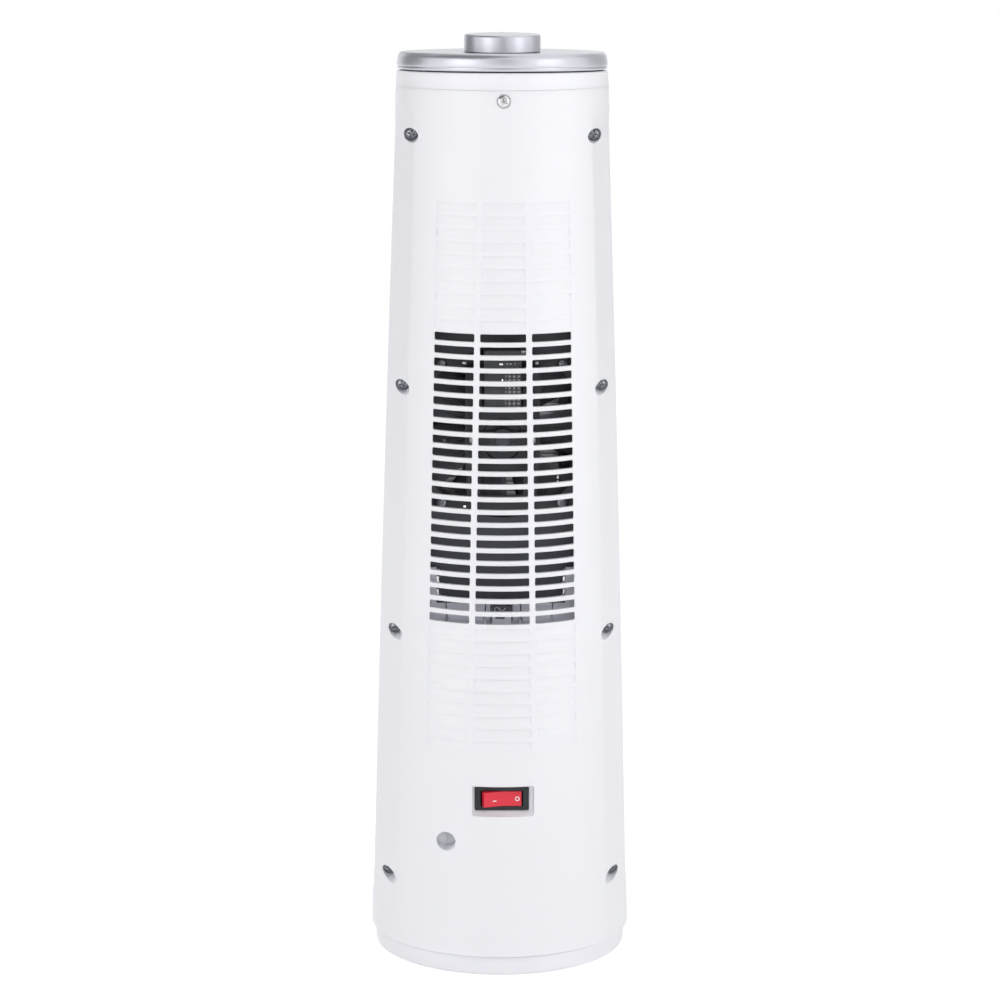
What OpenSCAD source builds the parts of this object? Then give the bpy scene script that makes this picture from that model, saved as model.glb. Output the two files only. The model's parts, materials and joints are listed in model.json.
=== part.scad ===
// Ceramic tower heater with an oscillating round body, seen from its rear:
// +Z is up, the rear grille faces +Y and the heat outlet faces -Y.
// The origin is the middle of the footprint, on the surface that the heater stands on.

/* [Base] */
// How far the base's side lies inside the body's lower edge
base_inset = 2.5; // [1.5:0.5:4]
// Height of the base's side wall
base_h = 10.5; // [10:0.5:14]
// Thickness of the base's floor and wall
base_wall = 2.5; // [2:0.25:3]
// Distance that the rubber feet stand below the base
foot_lift = 1.5; // [1:0.25:3]
// Radius of each rubber foot
foot_r = 7; // [5:0.5:8]
// Gap between the base and the turning body
turn_gap = 0.8; // [0.6:0.1:2]
// Radius of the post that the body turns on
post_r = 14; // [12:0.5:15]

/* [Body] */
// Height of the body, from its lower edge to the collar's parting line
body_h = 516.6; // [500:1:540]
// Radius of the body at its lower edge
body_r_bottom = 79.5; // [79:0.5:84]
// Radius of the body at the collar
body_r_top = 63.3; // [62:0.1:66]
// How far the side bulges out of a straight taper at mid height
body_bulge = 1; // [0:0.1:2]
// Wall thickness of the covers
wall = 2.4; // [2:0.1:3]
// Distance of the flat side lands from the axis, as a share of the radius
side_land = 0.989; // [0.985:0.001:0.995]
// Distance of the flat rear flanks from the axis, as a share of the radius
flank_land = 0.957; // [0.95:0.001:0.97]

/* [Rear grille] */
// Height of the top edge of the uppermost open row
grille_top = 388.8; // [380:0.2:396]
// Distance from one row to the next
row_pitch = 7.61; // [7:0.1:8]
// Height of each slot
slot_h = 4.9; // [4:0.1:5.2]
// Number of open rows
open_rows = 23; // [20:1:24]
// Number of blind rows above the open ones, and as many below
blind_rows = 10; // [4:1:11]
// Depth of the blind rows
blind_depth = 0.6; // [0.3:0.1:1]
// Width of the two upright ribs
rib_w = 3.4; // [2.6:0.1:4.4]
// Distance of each rib from the middle at the uppermost open row
rib_x_top = 15.1; // [13:0.1:17]
// Distance of each rib from the middle at the lowest open row
rib_x_bottom = 17.9; // [15:0.1:20]
// Half width of the grille, as a share of the body's radius
grille_share = 0.583; // [0.5:0.005:0.6]

/* [Top] */
// Height of the white collar under the cap
collar_h = 10.2; // [9:0.2:14]
// Height of the silver cap at its middle
cap_h = 9.6; // [8:0.2:11]
// How much the cap rises from its edge to its middle
cap_dome = 1.4; // [0.6:0.2:2]
// How far the cap's side lies inside the collar's foot
cap_inset = 0.6; // [0.2:0.1:2]
// Radius of the knob
knob_r = 22.8; // [18:0.2:26]
// Height of the knob
knob_h = 11.1; // [9:0.1:14]

/* [Switch and cord outlet] */
// Height of the rocker switch's middle
switch_z = 109.2; // [104:0.2:116]
// Length of the switch bezel
bezel_w = 32.5; // [31:0.5:34]
// Height of the switch bezel
bezel_h = 14.2; // [13:0.2:15]
// Length of the rocker
rocker_w = 24; // [22:0.5:25]
// Tilt of the rocker's two halves
rocker_tilt = 9; // [7:0.5:11]
// Height of the cord outlet's middle
outlet_z = 82.6; // [78:0.2:86]
// Distance of the cord outlet from the middle
outlet_x = 33.3; // [28:0.5:36]
// Radius of the cord outlet's bore
outlet_r = 5.75; // [4:0.25:6.5]

/* [Fan] */
// Height of the fan's axis over the second pair of side screws
fan_lift = 121; // [120:0.5:124]
// Radius of the fan over its blades
fan_r = 50; // [46:0.5:50.5]
// Number of blades
blade_count = 7; // [5:1:9]
// Depth of the blades along the axis
blade_depth = 20; // [16:1:22]

/* [Heat outlet] */
// Height of the outlet window
window_h = 172; // [160:1:176]
// Distance from one outlet bar to the next
bar_pitch = 8.4; // [7.6:0.1:9.6]
// Thickness of each outlet bar
bar_h = 2.4; // [2:0.1:3]

/* [Oscillation drive] */
// Gap between the turning crank and the glide ring
crank_room = 3.5; // [2.5:0.5:4.5]
// Distance of the crank's pin from its shaft
crank_r = 18.5; // [17:0.5:18.5]
// Radius of the crank's pin
pin_r = 2; // [1.5:0.1:2.2]
// Play of the pin in its channel, each side
pin_play = 0.9; // [0.9:0.1:1.2]

/* [Hidden] */

$fn = 64;
fine = 128;          // facets of the large rings
eps = 0.01;          // overlap of a cutting tool
far = 200;           // reach of a cutting tool
fit = 0.05;          // radial play of a shaft in its bearing
seat = 0.1;          // play between a piece and its seat
push = 0.02;         // radial play of a push fit

// Radii that follow the body's
base_r = body_r_bottom - base_inset;
cap_r = body_r_top - cap_inset;

// Heights
base_top = foot_lift + base_h;
floor_top = foot_lift + base_wall;
body_z0 = base_top + turn_gap;
body_z1 = body_z0 + body_h;
collar_z1 = body_z1 + collar_h;
cap_z1 = collar_z1 + cap_h;
knob_z0 = cap_z1 + 0.3;
knob_z1 = knob_z0 + knob_h;

// Body form
body_steps = 4;
function body_r(z) =
    let (t = (z - body_z0) / body_h)
    body_r_bottom + (body_r_top - body_r_bottom) * t + 4 * body_bulge * t * (1 - t);
function inner_r(z) = body_r(z) - wall;
flank_angle = 19;    // direction of a flank's normal, from +X towards +Y
land_ramp_low = [14, 35];      // heights over the lower edge where a land starts and is full
land_ramp_high = [22, 10];     // heights under the collar where a land is full and ends
edge_round = 0.8;    // radius of the covers' free edges

// Side screws
screw_z0 = body_z0 + 37.7;
screw_z3 = body_z1 - 28;
screw_more = 3.3;    // how much further the lowest screw is from the next one
screw_pitch = (screw_z3 - screw_z0 - screw_more) / 3;
screw_zs = [screw_z0, screw_z3 - 2 * screw_pitch, screw_z3 - screw_pitch, screw_z3];
screw_inset = 10.5;  // distance of a side screw's axis from the body's radius
head_r = 4;
head_h = 3;
head_seat_y = 16.3;  // plane under the heads of the side screws
sink_r = 4.3;        // radius of the sinks that the heads lie in
sink_wall = 1.9;
joint_y = 8;         // plane where the rear cover's sinks meet the front cover's posts
shank_r = 1.6;
cover_post_r = 4.5;
post_depth = 12;      // depth of the holes in the front cover's posts
side_shank = head_seat_y - joint_y + post_depth - 1;

// Bottom plate and what stands on it
plate_z0 = body_z0 + 0.2;
plate_t = 2.5;
plate_z1 = plate_z0 + plate_t;
plate_r = inner_r(plate_z1) - 0.3;
ledge_t = 2;
ledge_w = 10;
ledge_r = inner_r(plate_z1) - ledge_w;   // inner edge of the ledge
plate_boss_r = 4;
plate_boss_h = 7;
plate_boss_pitch = plate_r - 5;
plate_boss_angles = [28, 152, 208, 332];
retainer_r = 20;
retainer_t = 2;
retainer_gap = 0.3;
retainer_z0 = plate_z1 + retainer_gap;
retainer_hole_r = 6;
retainer_screw_pitch = 10;
glide_r = base_r - 12;
glide_w = 6;
glide_h = 2.5;
glide_wall = 4;
foot_pitch = base_r - 13;
foot_pocket = 1;

// Oscillation drive
crank_gap = 0.6;
crank_t = 2.4;
crank_end_r = 4;
crank_x = glide_r - glide_w / 2 - crank_room - crank_end_r - crank_r;   // shaft's distance from the axis
crank_z1 = plate_z0 - crank_gap;
crank_z0 = crank_z1 - crank_t;
channel_wall = 2.4;
channel_top = crank_z0 - crank_gap;
pin_z0 = floor_top + 0.8;
hub_r = 5;
motor_shaft_r = 3;
osc_r = 25;
osc_h = 20;
osc_z0 = plate_z1 + 6.5;
osc_ear = osc_r + 4;
osc_ear_r = 4;
osc_ear_t = 1.2;
osc_boss_r = 6;
osc_boss_h = 3;
osc_bore = 9;        // depth of the motor's bore over its floor
pad_h = 3;
pad_rim = 1;         // how far a pad stands out round what it carries
tilt_size = [18, 26, 22];
tilt_at = [ledge_r - 42.5, 14];    // corner of the tilt switch
block_size = [30, 17, 9];
terminal = [9, 12, 6];
block_at = [-(ledge_r - 9.6), 11];   // corner of the terminal block
tab = [0.8, 5, 6];   // a flat blade terminal

// Switch in the rear cover
pocket_w = bezel_w + 4.5;
pocket_h = bezel_h + 4.1;
pocket_at = [-0.75, -0.35];     // middle of the pocket, from the switch's own
pocket_y = body_r(switch_z) - 8;
flange_t = 1.8;
rocker_h = 9;
rocker_gap = 0.3;
rocker_pivot_y = pocket_y - 0.5;
rocker_top = 2.5;
rocker_pin_r = 1.2;
rocker_pin_l = 0.8;
housing_depth = 22;

// Cord outlet
outlet_wall = 2.2;
outlet_y0 = body_r(outlet_z) - 20;

// Grille
function row_z(i) = grille_top - slot_h - i * row_pitch;
rib_slope = (rib_x_bottom - rib_x_top) / ((open_rows - 1) * row_pitch);
function rib_x(z) = rib_x_top + rib_slope * (row_z(0) - z);

// Fan, motor and heater
fan_z = screw_zs[1] + fan_lift;
frame_y0 = -38;      // front of the heater's frame
frame_y1 = -12;      // where the shroud meets the frame
shroud_y1 = 30;      // rear face of the shroud
tip_gap = 1.5;
shroud_half_w = fan_r + tip_gap + 0.5;
chassis_edge = 5;    // from a chassis post's axis to the frame's side
chassis_x = shroud_half_w - chassis_edge;
ptc_half_w = chassis_x - chassis_edge;
ptc_half_h = 58;
cutout_r = 6;
frame_bay_half_h = ptc_half_h + 2 * cutout_r + 1;
chassis_dz = frame_bay_half_h + 6;
window_half_w = ptc_half_w;
shroud_wall = 2.5;
shroud_half_h = chassis_dz + 6;
shroud_z0 = fan_z - shroud_half_h;
shroud_z1 = fan_z + shroud_half_h;
neck_half_w = 37;
neck_h = 19;
hub_fan_r = 16;
blade_t = 1.8;
blade_twist = 42;
fan_y0 = -6;
shaft_r = 2.5;
bracket_t = 1.5;
bracket_y1 = shroud_y1 + bracket_t;
bar_dz = 42;
bar_half_h = 4.5;
bar_end_x = 36;
bolt_x = 17;         // distance of the motor's long bolts from its shaft
bolt_r = 1.5;
core_y0 = bracket_y1 + 5;
core_t = 16;
core_half_w = 22;
core_bottom = 20;    // from the shaft down to the core's foot
core_window = [24, 15];         // window over the rotor that the coil lies in
core_window_z = 17;
core_bar_h = 10;     // height of the core's upper bar
core_top = core_window_z + core_window[1] + core_bar_h;
coil_half_w = 11;
coil_over = 12;      // how far the coil stands over the core
coil_side = 4;       // how far it stands out at the core's faces
rotor_r = 12;
air_gap = 0.5;
bearing_r = 5;
bearing_t = 5;
bridge_t = 1.5;
chassis_post_r = 3.6;
ptc_bar_count = 5;
ptc_depth = 17;      // depth of the heating pack along the air's way
frame_wall = 2.5;
bay_y = frame_y0 + frame_wall + ptc_depth + 0.5;     // rear face of the ledge round the heating pack
chassis_tube_r = 4.8;
ptc_bar_w = 6;
fin_pitch = 2.9;
fin_t = 0.5;

// Deck under the fan
deck_t = 2.5;
deck_z0 = screw_zs[1] + cover_post_r + seat;
deck_z1 = deck_z0 + deck_t;
deck_half_w = 50;
deck_y0 = -34;
deck_y1 = sqrt(pow(inner_r(deck_z0) - 1.5, 2) - pow(deck_half_w, 2));
deck_ribs = [-30, -11, 10, 32];
deck_rib_t = 1.2;
deck_rib_h = 3;
limit_size = [12, 16, 12];
limit_y = shroud_y1 + 1.4;

// Controls under the cap
spigot_h = 9;
spigot_t = 2.4;
bracket_z1 = collar_z1 - 5;
bracket_plate_t = 2;
switch_box = 26;
switch_box_h = 20;
bushing_r = 4.5;
knob_wall = 2;
cap_wall = 2.4;
screw_z_top = body_z1 - 5.9;
top_recess = 1.2;
top_recess_r = 4.2;
seam = 0.5;          // groove between the covers and the collar
cap_draft = 0.7;     // how far the cap's side leans in
cap_round = 1.6;     // radius of the cap's edge

// Outlet window
window_z0 = fan_z - window_h / 2;
window_r = 9;
grille_lip = 3;
grille_t = 2.4;

white = [0.91, 0.915, 0.93];
silver = [0.72, 0.73, 0.76];
charcoal = [0.2, 0.205, 0.23];
grey = [0.6, 0.61, 0.65];
steel = [0.7, 0.71, 0.73];

// Helpers

// A solid turned from the body's own side line, moved in by off
module body_turn(off, z0 = body_z0, z1 = body_z1) {
    dz = (z1 - z0) / body_steps;
    rotate_extrude($fn = fine)
        polygon(concat(
            [[0, z0]],
            [for (i = [0:body_steps]) [body_r(z0 + i * dz) - off, z0 + i * dz]],
            [[0, z1]]));
}

// A prism that cuts one flat land along the whole body
module land_cut(share, off) {
    z_low = [for (dz = land_ramp_low) body_z0 + dz];
    z_high = [for (dz = land_ramp_high) body_z1 - dz];
    mid_steps = 4;
    mid_dz = (z_high[0] - z_low[1]) / mid_steps;
    rotate([90, 0, 0])
        linear_extrude(height = far, center = true)
            polygon(concat(
                [[body_r(z_low[0]) + eps - off, z_low[0]]],
                [for (i = [0:mid_steps])
                    let (z = z_low[1] + i * mid_dz) [body_r(z) * share - off, z]],
                [[body_r(z_high[1]) + eps - off, z_high[1]], [far, z_high[1]], [far, z_low[0]]]));
}

// The body's outer form with its four lands, moved in by off
module body_form(off) {
    difference() {
        body_turn(off);
        for (side = [0, 1])
            mirror([side, 0, 0]) {
                land_cut(side_land, off);
                rotate([0, 0, flank_angle]) land_cut(flank_land, off);
            }
    }
}

// Everything on the rear side of a plane
module rear_of(y) translate([-far, y, -far]) cube([2 * far, far, 6 * far]);

// Everything on the front side of a plane
module front_of(y) translate([-far, y - far, -far]) cube([2 * far, far, 6 * far]);

// A cylinder along +Y from y0 to y1
module rod_y(r, y0, y1) translate([0, y0, 0]) rotate([-90, 0, 0]) cylinder(r = r, h = y1 - y0);

// A rounded rectangle, centred, with true arcs at its corners
module round_rect(w, h, r) {
    square([w - 2 * r, h], center = true);
    square([w, h - 2 * r], center = true);
    for (x = [-1, 1], y = [-1, 1])
        translate([x * (w / 2 - r), y * (h / 2 - r)]) circle(r = r, $fn = 24);
}

// A rounded rectangular prism along Y
module prism_y(w, h, r, y0, y1)
    translate([0, y1, 0]) rotate([90, 0, 0]) linear_extrude(height = y1 - y0) round_rect(w, h, r);

// A pan head screw along +Y, with the seat of its head at y = 0
module screw_y(head, head_t, shank, length) {
    rod_y(head, 0, head_t);
    rod_y(shank, -length, eps);
}

// A pan head screw along +Z, with the seat of its head at z = 0
module screw_z(head, head_t, shank, length) {
    cylinder(r = head, h = head_t);
    translate([0, 0, -length]) cylinder(r = shank, h = length + eps);
}

// Places its children at the side screws
module at_side_screws()
    for (z = screw_zs, side = [-1, 1])
        translate([side * (body_r(z) - screw_inset), 0, z]) children();

// Places its children at the four corners of the chassis
module at_chassis()
    for (x = [-1, 1], z = [-1, 1])
        translate([x * chassis_x, 0, fan_z + z * chassis_dz]) children();

// Places its children at the four ends of the motor bracket's bars
module at_bar_ends()
    for (x = [-1, 1], z = [-1, 1])
        translate([x * bar_end_x, 0, fan_z + z * bar_dz]) children();

// A piece of a ring that follows the body's side, between two angles, from a depth outwards
module ring_piece(z, h, from, to, depth)
    rotate([0, 0, from])
        rotate_extrude(angle = to - from, $fn = fine)
            polygon([[body_r(z) - depth, z], [body_r(z) + 3, z],
                [body_r(z + h) + 3, z + h], [body_r(z + h) - depth, z + h]]);

// One row of three slots in the rear grille, cut to a depth
module slot_row(z, depth) {
    mid = asin((rib_x(z) - rib_w / 2) / body_r(z));
    inner = asin((rib_x(z) + rib_w / 2) / body_r(z));
    outer = asin(grille_share);
    ring_piece(z, slot_h, 90 - mid, 90 + mid, depth);
    ring_piece(z, slot_h, 90 + inner, 90 + outer, depth);
    ring_piece(z, slot_h, 90 - outer, 90 - inner, depth);
}

// Base

module base_plate() color(white) difference() {
    union() {
        rotate_extrude($fn = fine) polygon([
            [0, foot_lift], [base_r - 1.5, foot_lift], [base_r - 0.45, foot_lift + 0.45],
            [base_r, foot_lift + 1.5], [base_r, base_top - 0.6], [base_r - 0.6, base_top],
            [base_r - base_wall, base_top], [base_r - base_wall, floor_top], [0, floor_top]]);
        cylinder_between(post_r, floor_top - eps, retainer_z0);
        difference() {
            cylinder_between(glide_r + glide_wall / 2, floor_top - eps, base_top - glide_h);
            cylinder_between(glide_r - glide_wall / 2, floor_top - 1, base_top);
        }
        drive_channel();
    }
    cylinder_between(retainer_hole_r, 0, retainer_z0 + 1);
    for (a = [90, 210, 330])
        rotate([0, 0, a]) translate([retainer_screw_pitch, 0, retainer_z0 - 9])
            cylinder(r = shank_r, h = 10, $fn = 24);
    for (a = [45:90:315])
        rotate([0, 0, a]) translate([foot_pitch, 0, 0])
            cylinder_between(foot_r + seat, 0, foot_lift + foot_pocket);
}

module cylinder_between(r, z0, z1) translate([0, 0, z0]) cylinder(r = r, h = z1 - z0, $fn = fine);

// Two upright ribs that hold the crank's pin
module drive_channel() {
    y_far = crank_x + crank_r + pin_r + 1.6;
    y_near = crank_x - 2;
    half = pin_r + pin_play;
    for (side = [-1, 1])
        translate([side > 0 ? half : -half - channel_wall, -y_far, floor_top - eps])
            cube([channel_wall, y_far - y_near, channel_top - floor_top + eps]);
}

module rubber_feet() color([0.12, 0.12, 0.13])
    for (a = [45:90:315])
        rotate([0, 0, a]) translate([foot_pitch, 0, 0]) {
            translate([0, 0, 0.5]) cylinder(r = foot_r, h = foot_lift + foot_pocket - 0.5);
            cylinder(r1 = foot_r - 0.5, r2 = foot_r, h = 0.5);
        }

module glide_ring() color([0.93, 0.92, 0.88]) difference() {
    cylinder_between(glide_r + glide_w / 2, base_top - glide_h, plate_z0 - fit);
    cylinder_between(glide_r - glide_w / 2, base_top - glide_h - 1, plate_z0 + 1);
}

module retainer_ring() color(steel) difference() {
    cylinder_between(retainer_r, retainer_z0, retainer_z0 + retainer_t);
    cylinder_between(retainer_hole_r, retainer_z0 - 1, retainer_z0 + retainer_t + 1);
    for (a = [90, 210, 330])
        rotate([0, 0, a]) translate([retainer_screw_pitch, 0, retainer_z0 - 1])
            cylinder(r = shank_r + seat, h = retainer_t + 2, $fn = 24);
}

module retainer_screws() color(steel)
    for (a = [90, 210, 330])
        rotate([0, 0, a]) translate([retainer_screw_pitch, 0, retainer_z0 + retainer_t])
            screw_z(3, 1.8, shank_r - fit, 10);

// Body floor and the oscillation drive

module bottom_plate() color(grey) difference() {
    union() {
        cylinder_between(plate_r, plate_z0, plate_z1);
        for (side = [-1, 1])
            translate([side * osc_ear, -crank_x, plate_z1 - eps])
                cylinder(r = osc_ear_r, h = osc_z0 - plate_z1 + eps);
        pad(tilt_at, tilt_size);
        pad(block_at, block_size);
    }
    cylinder_between(post_r + fit, 0, plate_z1 + 1);
    translate([0, -crank_x, 0]) cylinder(r = hub_r + 0.5, h = plate_z1 + 1);
    for (side = [-1, 1])
        translate([side * osc_ear, -crank_x, plate_z0 - 1])
            cylinder(r = shank_r, h = osc_z0, $fn = 24);
    for (a = plate_boss_angles)
        rotate([0, 0, a]) translate([plate_boss_pitch, 0, plate_z0 - 1]) {
            cylinder(r = shank_r + seat, h = plate_t + 2, $fn = 24);
            cylinder(r = 3.3, h = 2);
        }
}

// A raised pad on the bottom plate, under a part at one corner
module pad(at, size)
    translate([at[0] - pad_rim, at[1] - pad_rim, plate_z1 - eps])
        cube([size[0] + 2 * pad_rim, size[1] + 2 * pad_rim, pad_h + eps]);

module plate_screws() color(steel)
    for (a = plate_boss_angles)
        rotate([0, 0, a]) translate([plate_boss_pitch, 0, plate_z0 + 1])
            mirror([0, 0, 1]) screw_z(3, 0.9, shank_r - fit, 9);

module osc_motor() color([0.78, 0.76, 0.7]) difference() {
    union() {
        translate([0, -crank_x, osc_z0]) cylinder(r = osc_r, h = osc_h);
        translate([-osc_ear, -crank_x - osc_ear_r, osc_z0]) cube([2 * osc_ear, 2 * osc_ear_r, osc_ear_t]);
        for (side = [-1, 1])
            translate([side * osc_ear, -crank_x, osc_z0]) cylinder(r = osc_ear_r, h = osc_ear_t);
        translate([0, -crank_x, osc_z0 - osc_boss_h]) cylinder(r = osc_boss_r, h = osc_boss_h + 1);
    }
    translate([0, -crank_x, osc_z0 - osc_boss_h - 1])
        cylinder(r = motor_shaft_r + fit, h = osc_bore + osc_boss_h + 2);
    for (side = [-1, 1])
        translate([side * osc_ear, -crank_x, osc_z0 - 1])
            cylinder(r = shank_r + seat, h = 4, $fn = 24);
}

module osc_motor_screws() color(steel)
    for (side = [-1, 1])
        translate([side * osc_ear, -crank_x, osc_z0 + osc_ear_t]) screw_z(3, 1.8, shank_r - fit, 7);

module crank_shaft() color(steel)
    translate([0, -crank_x, crank_z0]) cylinder(r = motor_shaft_r, h = osc_z0 + osc_bore - crank_z0);

module osc_crank() color([0.93, 0.92, 0.88]) difference() {
    union() {
        translate([0, -crank_x, crank_z0]) cylinder(r = hub_r, h = plate_z1 + 1 - crank_z0);
        translate([-crank_end_r, -crank_x - crank_r, crank_z0]) cube([2 * crank_end_r, crank_r, crank_t]);
        translate([0, -crank_x - crank_r, crank_z0]) cylinder(r = crank_end_r, h = crank_t);
        translate([0, -crank_x - crank_r, pin_z0]) cylinder(r = pin_r, h = crank_z0 - pin_z0 + eps);
    }
    translate([0, -crank_x, crank_z0 - 1]) cylinder(r = motor_shaft_r + push, h = plate_z1 + 3 - crank_z0);
}

module tilt_switch() color(charcoal)
    translate([tilt_at[0], tilt_at[1], plate_z1 + pad_h]) {
        cube(tilt_size);
        for (share = [0.25, 0.75])
            translate([tab[1], tilt_size[1] * share - tab[1] / 2, tilt_size[2] - eps]) cube(tab);
    }

module terminal_block() color([0.88, 0.87, 0.84]) difference() {
    translate([block_at[0], block_at[1], plate_z1 + pad_h]) {
        cube(block_size);
        at_terminals()
            translate([-terminal[0] / 2, -terminal[1] / 2, block_size[2] - eps]) cube(terminal);
    }
    translate([block_at[0], block_at[1], plate_z1 + pad_h + block_size[2] - 2])
        at_terminals() cylinder(r = 2.2, h = 12, $fn = 24);
}

// Places its children at the terminals of the block, from the block's corner
module at_terminals()
    for (i = [0.5:1:2.5])
        translate([i * block_size[0] / 3, block_size[1] / 2, 0]) children();

// Covers

module rear_cover() color(white) difference() {
    intersection() {
        difference() {
            body_form(0);
            difference() {
                body_form(wall);
                rear_bosses();
                cover_ledge();
            }
        }
        rear_of(0);
    }
    at_side_screws() {
        rod_y(sink_r, head_seat_y, 90);
        rod_y(shank_r + seat, 0, head_seat_y + 1);
    }
    translate([0, 0, switch_z]) {
        translate([pocket_at[0], 0, pocket_at[1]]) prism_y(pocket_w, pocket_h, 1, pocket_y, 90);
        prism_y(bezel_w - 2.4, bezel_h - 2.2, 0.5, pocket_y - 10, 90);
    }
    translate([outlet_x, 0, outlet_z]) rod_y(outlet_r, outlet_y0 - 1, 90);
    for (i = [0:open_rows - 1]) slot_row(row_z(i), wall + 3);
    for (i = [1:blind_rows]) {
        slot_row(row_z(-i), blind_depth);
        slot_row(row_z(open_rows - 1 + i), blind_depth);
    }
    translate([0, 0, screw_z_top]) {
        rod_y(top_recess_r, body_r(screw_z_top) - top_recess, 90);
        rod_y(shank_r + seat, 40, 90);
    }
    plate_boss_holes();
}

// What stands inside the rear cover: the sinks' sleeves, the switch pocket and the cord sleeve
module rear_bosses() {
    at_side_screws() rod_y(sink_r + sink_wall, joint_y, 60);
    translate([pocket_at[0], 0, switch_z + pocket_at[1]])
        prism_y(pocket_w + 2 * wall, pocket_h + 2 * wall, 2, pocket_y - wall, 90);
    translate([outlet_x, 0, outlet_z]) rod_y(outlet_r + outlet_wall, outlet_y0, 90);
}

// A ledge inside the covers that the bottom plate's screws pull against
module cover_ledge() {
    difference() {
        cylinder_between(inner_r(plate_z1) + wall / 2, plate_z1, plate_z1 + ledge_t);
        cylinder_between(inner_r(plate_z1) - ledge_w, plate_z1 - 1, plate_z1 + ledge_t + 1);
    }
    for (a = plate_boss_angles)
        rotate([0, 0, a]) translate([plate_boss_pitch, 0, plate_z1 + ledge_t - eps])
            cylinder(r = plate_boss_r, h = plate_boss_h);
}

module plate_boss_holes()
    for (a = plate_boss_angles)
        rotate([0, 0, a]) translate([plate_boss_pitch, 0, plate_z1 - 1])
            cylinder(r = shank_r, h = 9, $fn = 24);

module front_cover() color(white) difference() {
    union() {
        intersection() {
            difference() {
                body_form(0);
                difference() {
                    body_form(wall);
                    at_side_screws() rod_y(cover_post_r, -80, 10);
                    at_chassis() rod_y(chassis_post_r, -80, frame_y0);
                    cover_ledge();
                }
            }
            front_of(0);
        }
        at_side_screws() rod_y(cover_post_r, -10, joint_y - seat);
    }
    at_side_screws() rod_y(shank_r, joint_y - seat - post_depth, joint_y + 1);
    at_chassis() rod_y(shank_r - 0.2, frame_y0 - 4, frame_y0 + 1);
    translate([0, 0, fan_z]) prism_y(2 * window_half_w, window_h, window_r, -far, -20);
    plate_boss_holes();
}

module front_grille() color(silver) difference() {
    union() {
        intersection() {
            difference() {
                body_turn(0.5);
                body_turn(wall + 1);
            }
            translate([0, 0, fan_z])
                prism_y(2 * window_half_w - 0.4, window_h - 0.4, window_r - 0.2, -far, -20);
        }
        intersection() {
            difference() {
                body_turn(wall + seat);
                body_turn(wall + seat + grille_t);
            }
            translate([0, 0, fan_z])
                prism_y(2 * (window_half_w + grille_lip), window_h + 2 * grille_lip,
                    window_r + grille_lip, -far, -20);
        }
    }
    outlet_slots();
    at_chassis() rod_y(chassis_post_r + seat, -far, frame_y0);
}

// Slots between the outlet bars, either side of a middle stay
module outlet_slots() {
    gap = bar_pitch - bar_h;
    rows = floor((window_h - 12) / bar_pitch);
    for (i = [0:rows - 1]) {
        z = fan_z + (i - (rows - 1) / 2) * bar_pitch - gap / 2;
        stay = asin(1.5 / body_r(z));
        end = asin((window_half_w - 5) / body_r(z));
        ring_piece(z, gap, 270 + stay, 270 + end, wall + grille_t + 3);
        ring_piece(z, gap, 270 - end, 270 - stay, wall + grille_t + 3);
    }
}

module side_screws() color(steel)
    at_side_screws() translate([0, head_seat_y, 0]) screw_y(head_r, head_h, shank_r - fit, side_shank);

module top_screw() color(steel)
    translate([0, body_r(screw_z_top) - top_recess, screw_z_top])
        screw_y(top_recess_r - 0.5, 1.9, shank_r - fit, 6.5);

// Top

module collar_ring() color(white) difference() {
    union() {
        rotate_extrude($fn = fine) polygon([
            [cap_r - 9, body_z1], [body_r_top - seam, body_z1], [body_r_top, body_z1 + seam],
            [cap_r + 0.1, collar_z1 - edge_round],
            [cap_r + 0.1 - edge_round, collar_z1], [cap_r - 4.5, collar_z1],
            [cap_r - 4.5, bracket_z1], [cap_r - 9, bracket_z1]]);
        difference() {
            cylinder_between(inner_r(body_z1) - seat, body_z1 - spigot_h, body_z1 + eps);
            cylinder_between(inner_r(body_z1) - seat - spigot_t, body_z1 - spigot_h - 1, body_z1 + 1);
        }
    }
    cylinder_between(cap_r - 9 + eps, body_z1 - 1, collar_z1 + 1);
    translate([0, 0, screw_z_top]) rod_y(shank_r, 40, 90);
    for (a = [45:90:315])
        rotate([0, 0, a]) translate([cap_r - 6.8, 0, bracket_z1 - 6])
            cylinder(r = 1.1, h = 7, $fn = 24);
}

module top_cap() color(silver) difference() {
    under = 1.6;
    dome_r = cap_r - cap_draft - cap_round;
    dome_z0 = cap_z1 - cap_dome;
    rotate_extrude($fn = fine) polygon(concat(
        [[0, collar_z1], [cap_r - 2.2, collar_z1], [cap_r, collar_z1 + under]],
        [for (a = [0:17:85]) [dome_r + cap_round * cos(a), dome_z0 - cap_round * (1 - sin(a))]],
        [for (share = [0.95, 0.8, 0.6, 0.4, 0.2]) [share * dome_r, cap_z1 - cap_dome * share * share]],
        [[0, cap_z1]]));
    cylinder_between(cap_r - 5, collar_z1 - 1, dome_z0 - cap_wall);
    cylinder_between(bushing_r + 1.5, collar_z1, cap_z1 + 1);
}

module control_bracket() color(grey) difference() {
    union() {
        cylinder_between(cap_r - 4.5 - 0.2, bracket_z1, bracket_z1 + bracket_plate_t);
        for (a = [0:90:270])
            rotate([0, 0, a]) translate([14, -0.8, bracket_z1 + bracket_plate_t - eps])
                cube([cap_r - 28.7, 1.6, 3]);
    }
    cylinder_between(bushing_r + seat, bracket_z1 - 1, bracket_z1 + 9);
    for (a = [45:90:315])
        rotate([0, 0, a]) {
            translate([cap_r - 6.8, 0, bracket_z1 - 1]) cylinder(r = 1.3, h = 9, $fn = 24);
            translate([36, 0, bracket_z1 - 1]) cylinder(r = 8, h = 9);
        }
}

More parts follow.
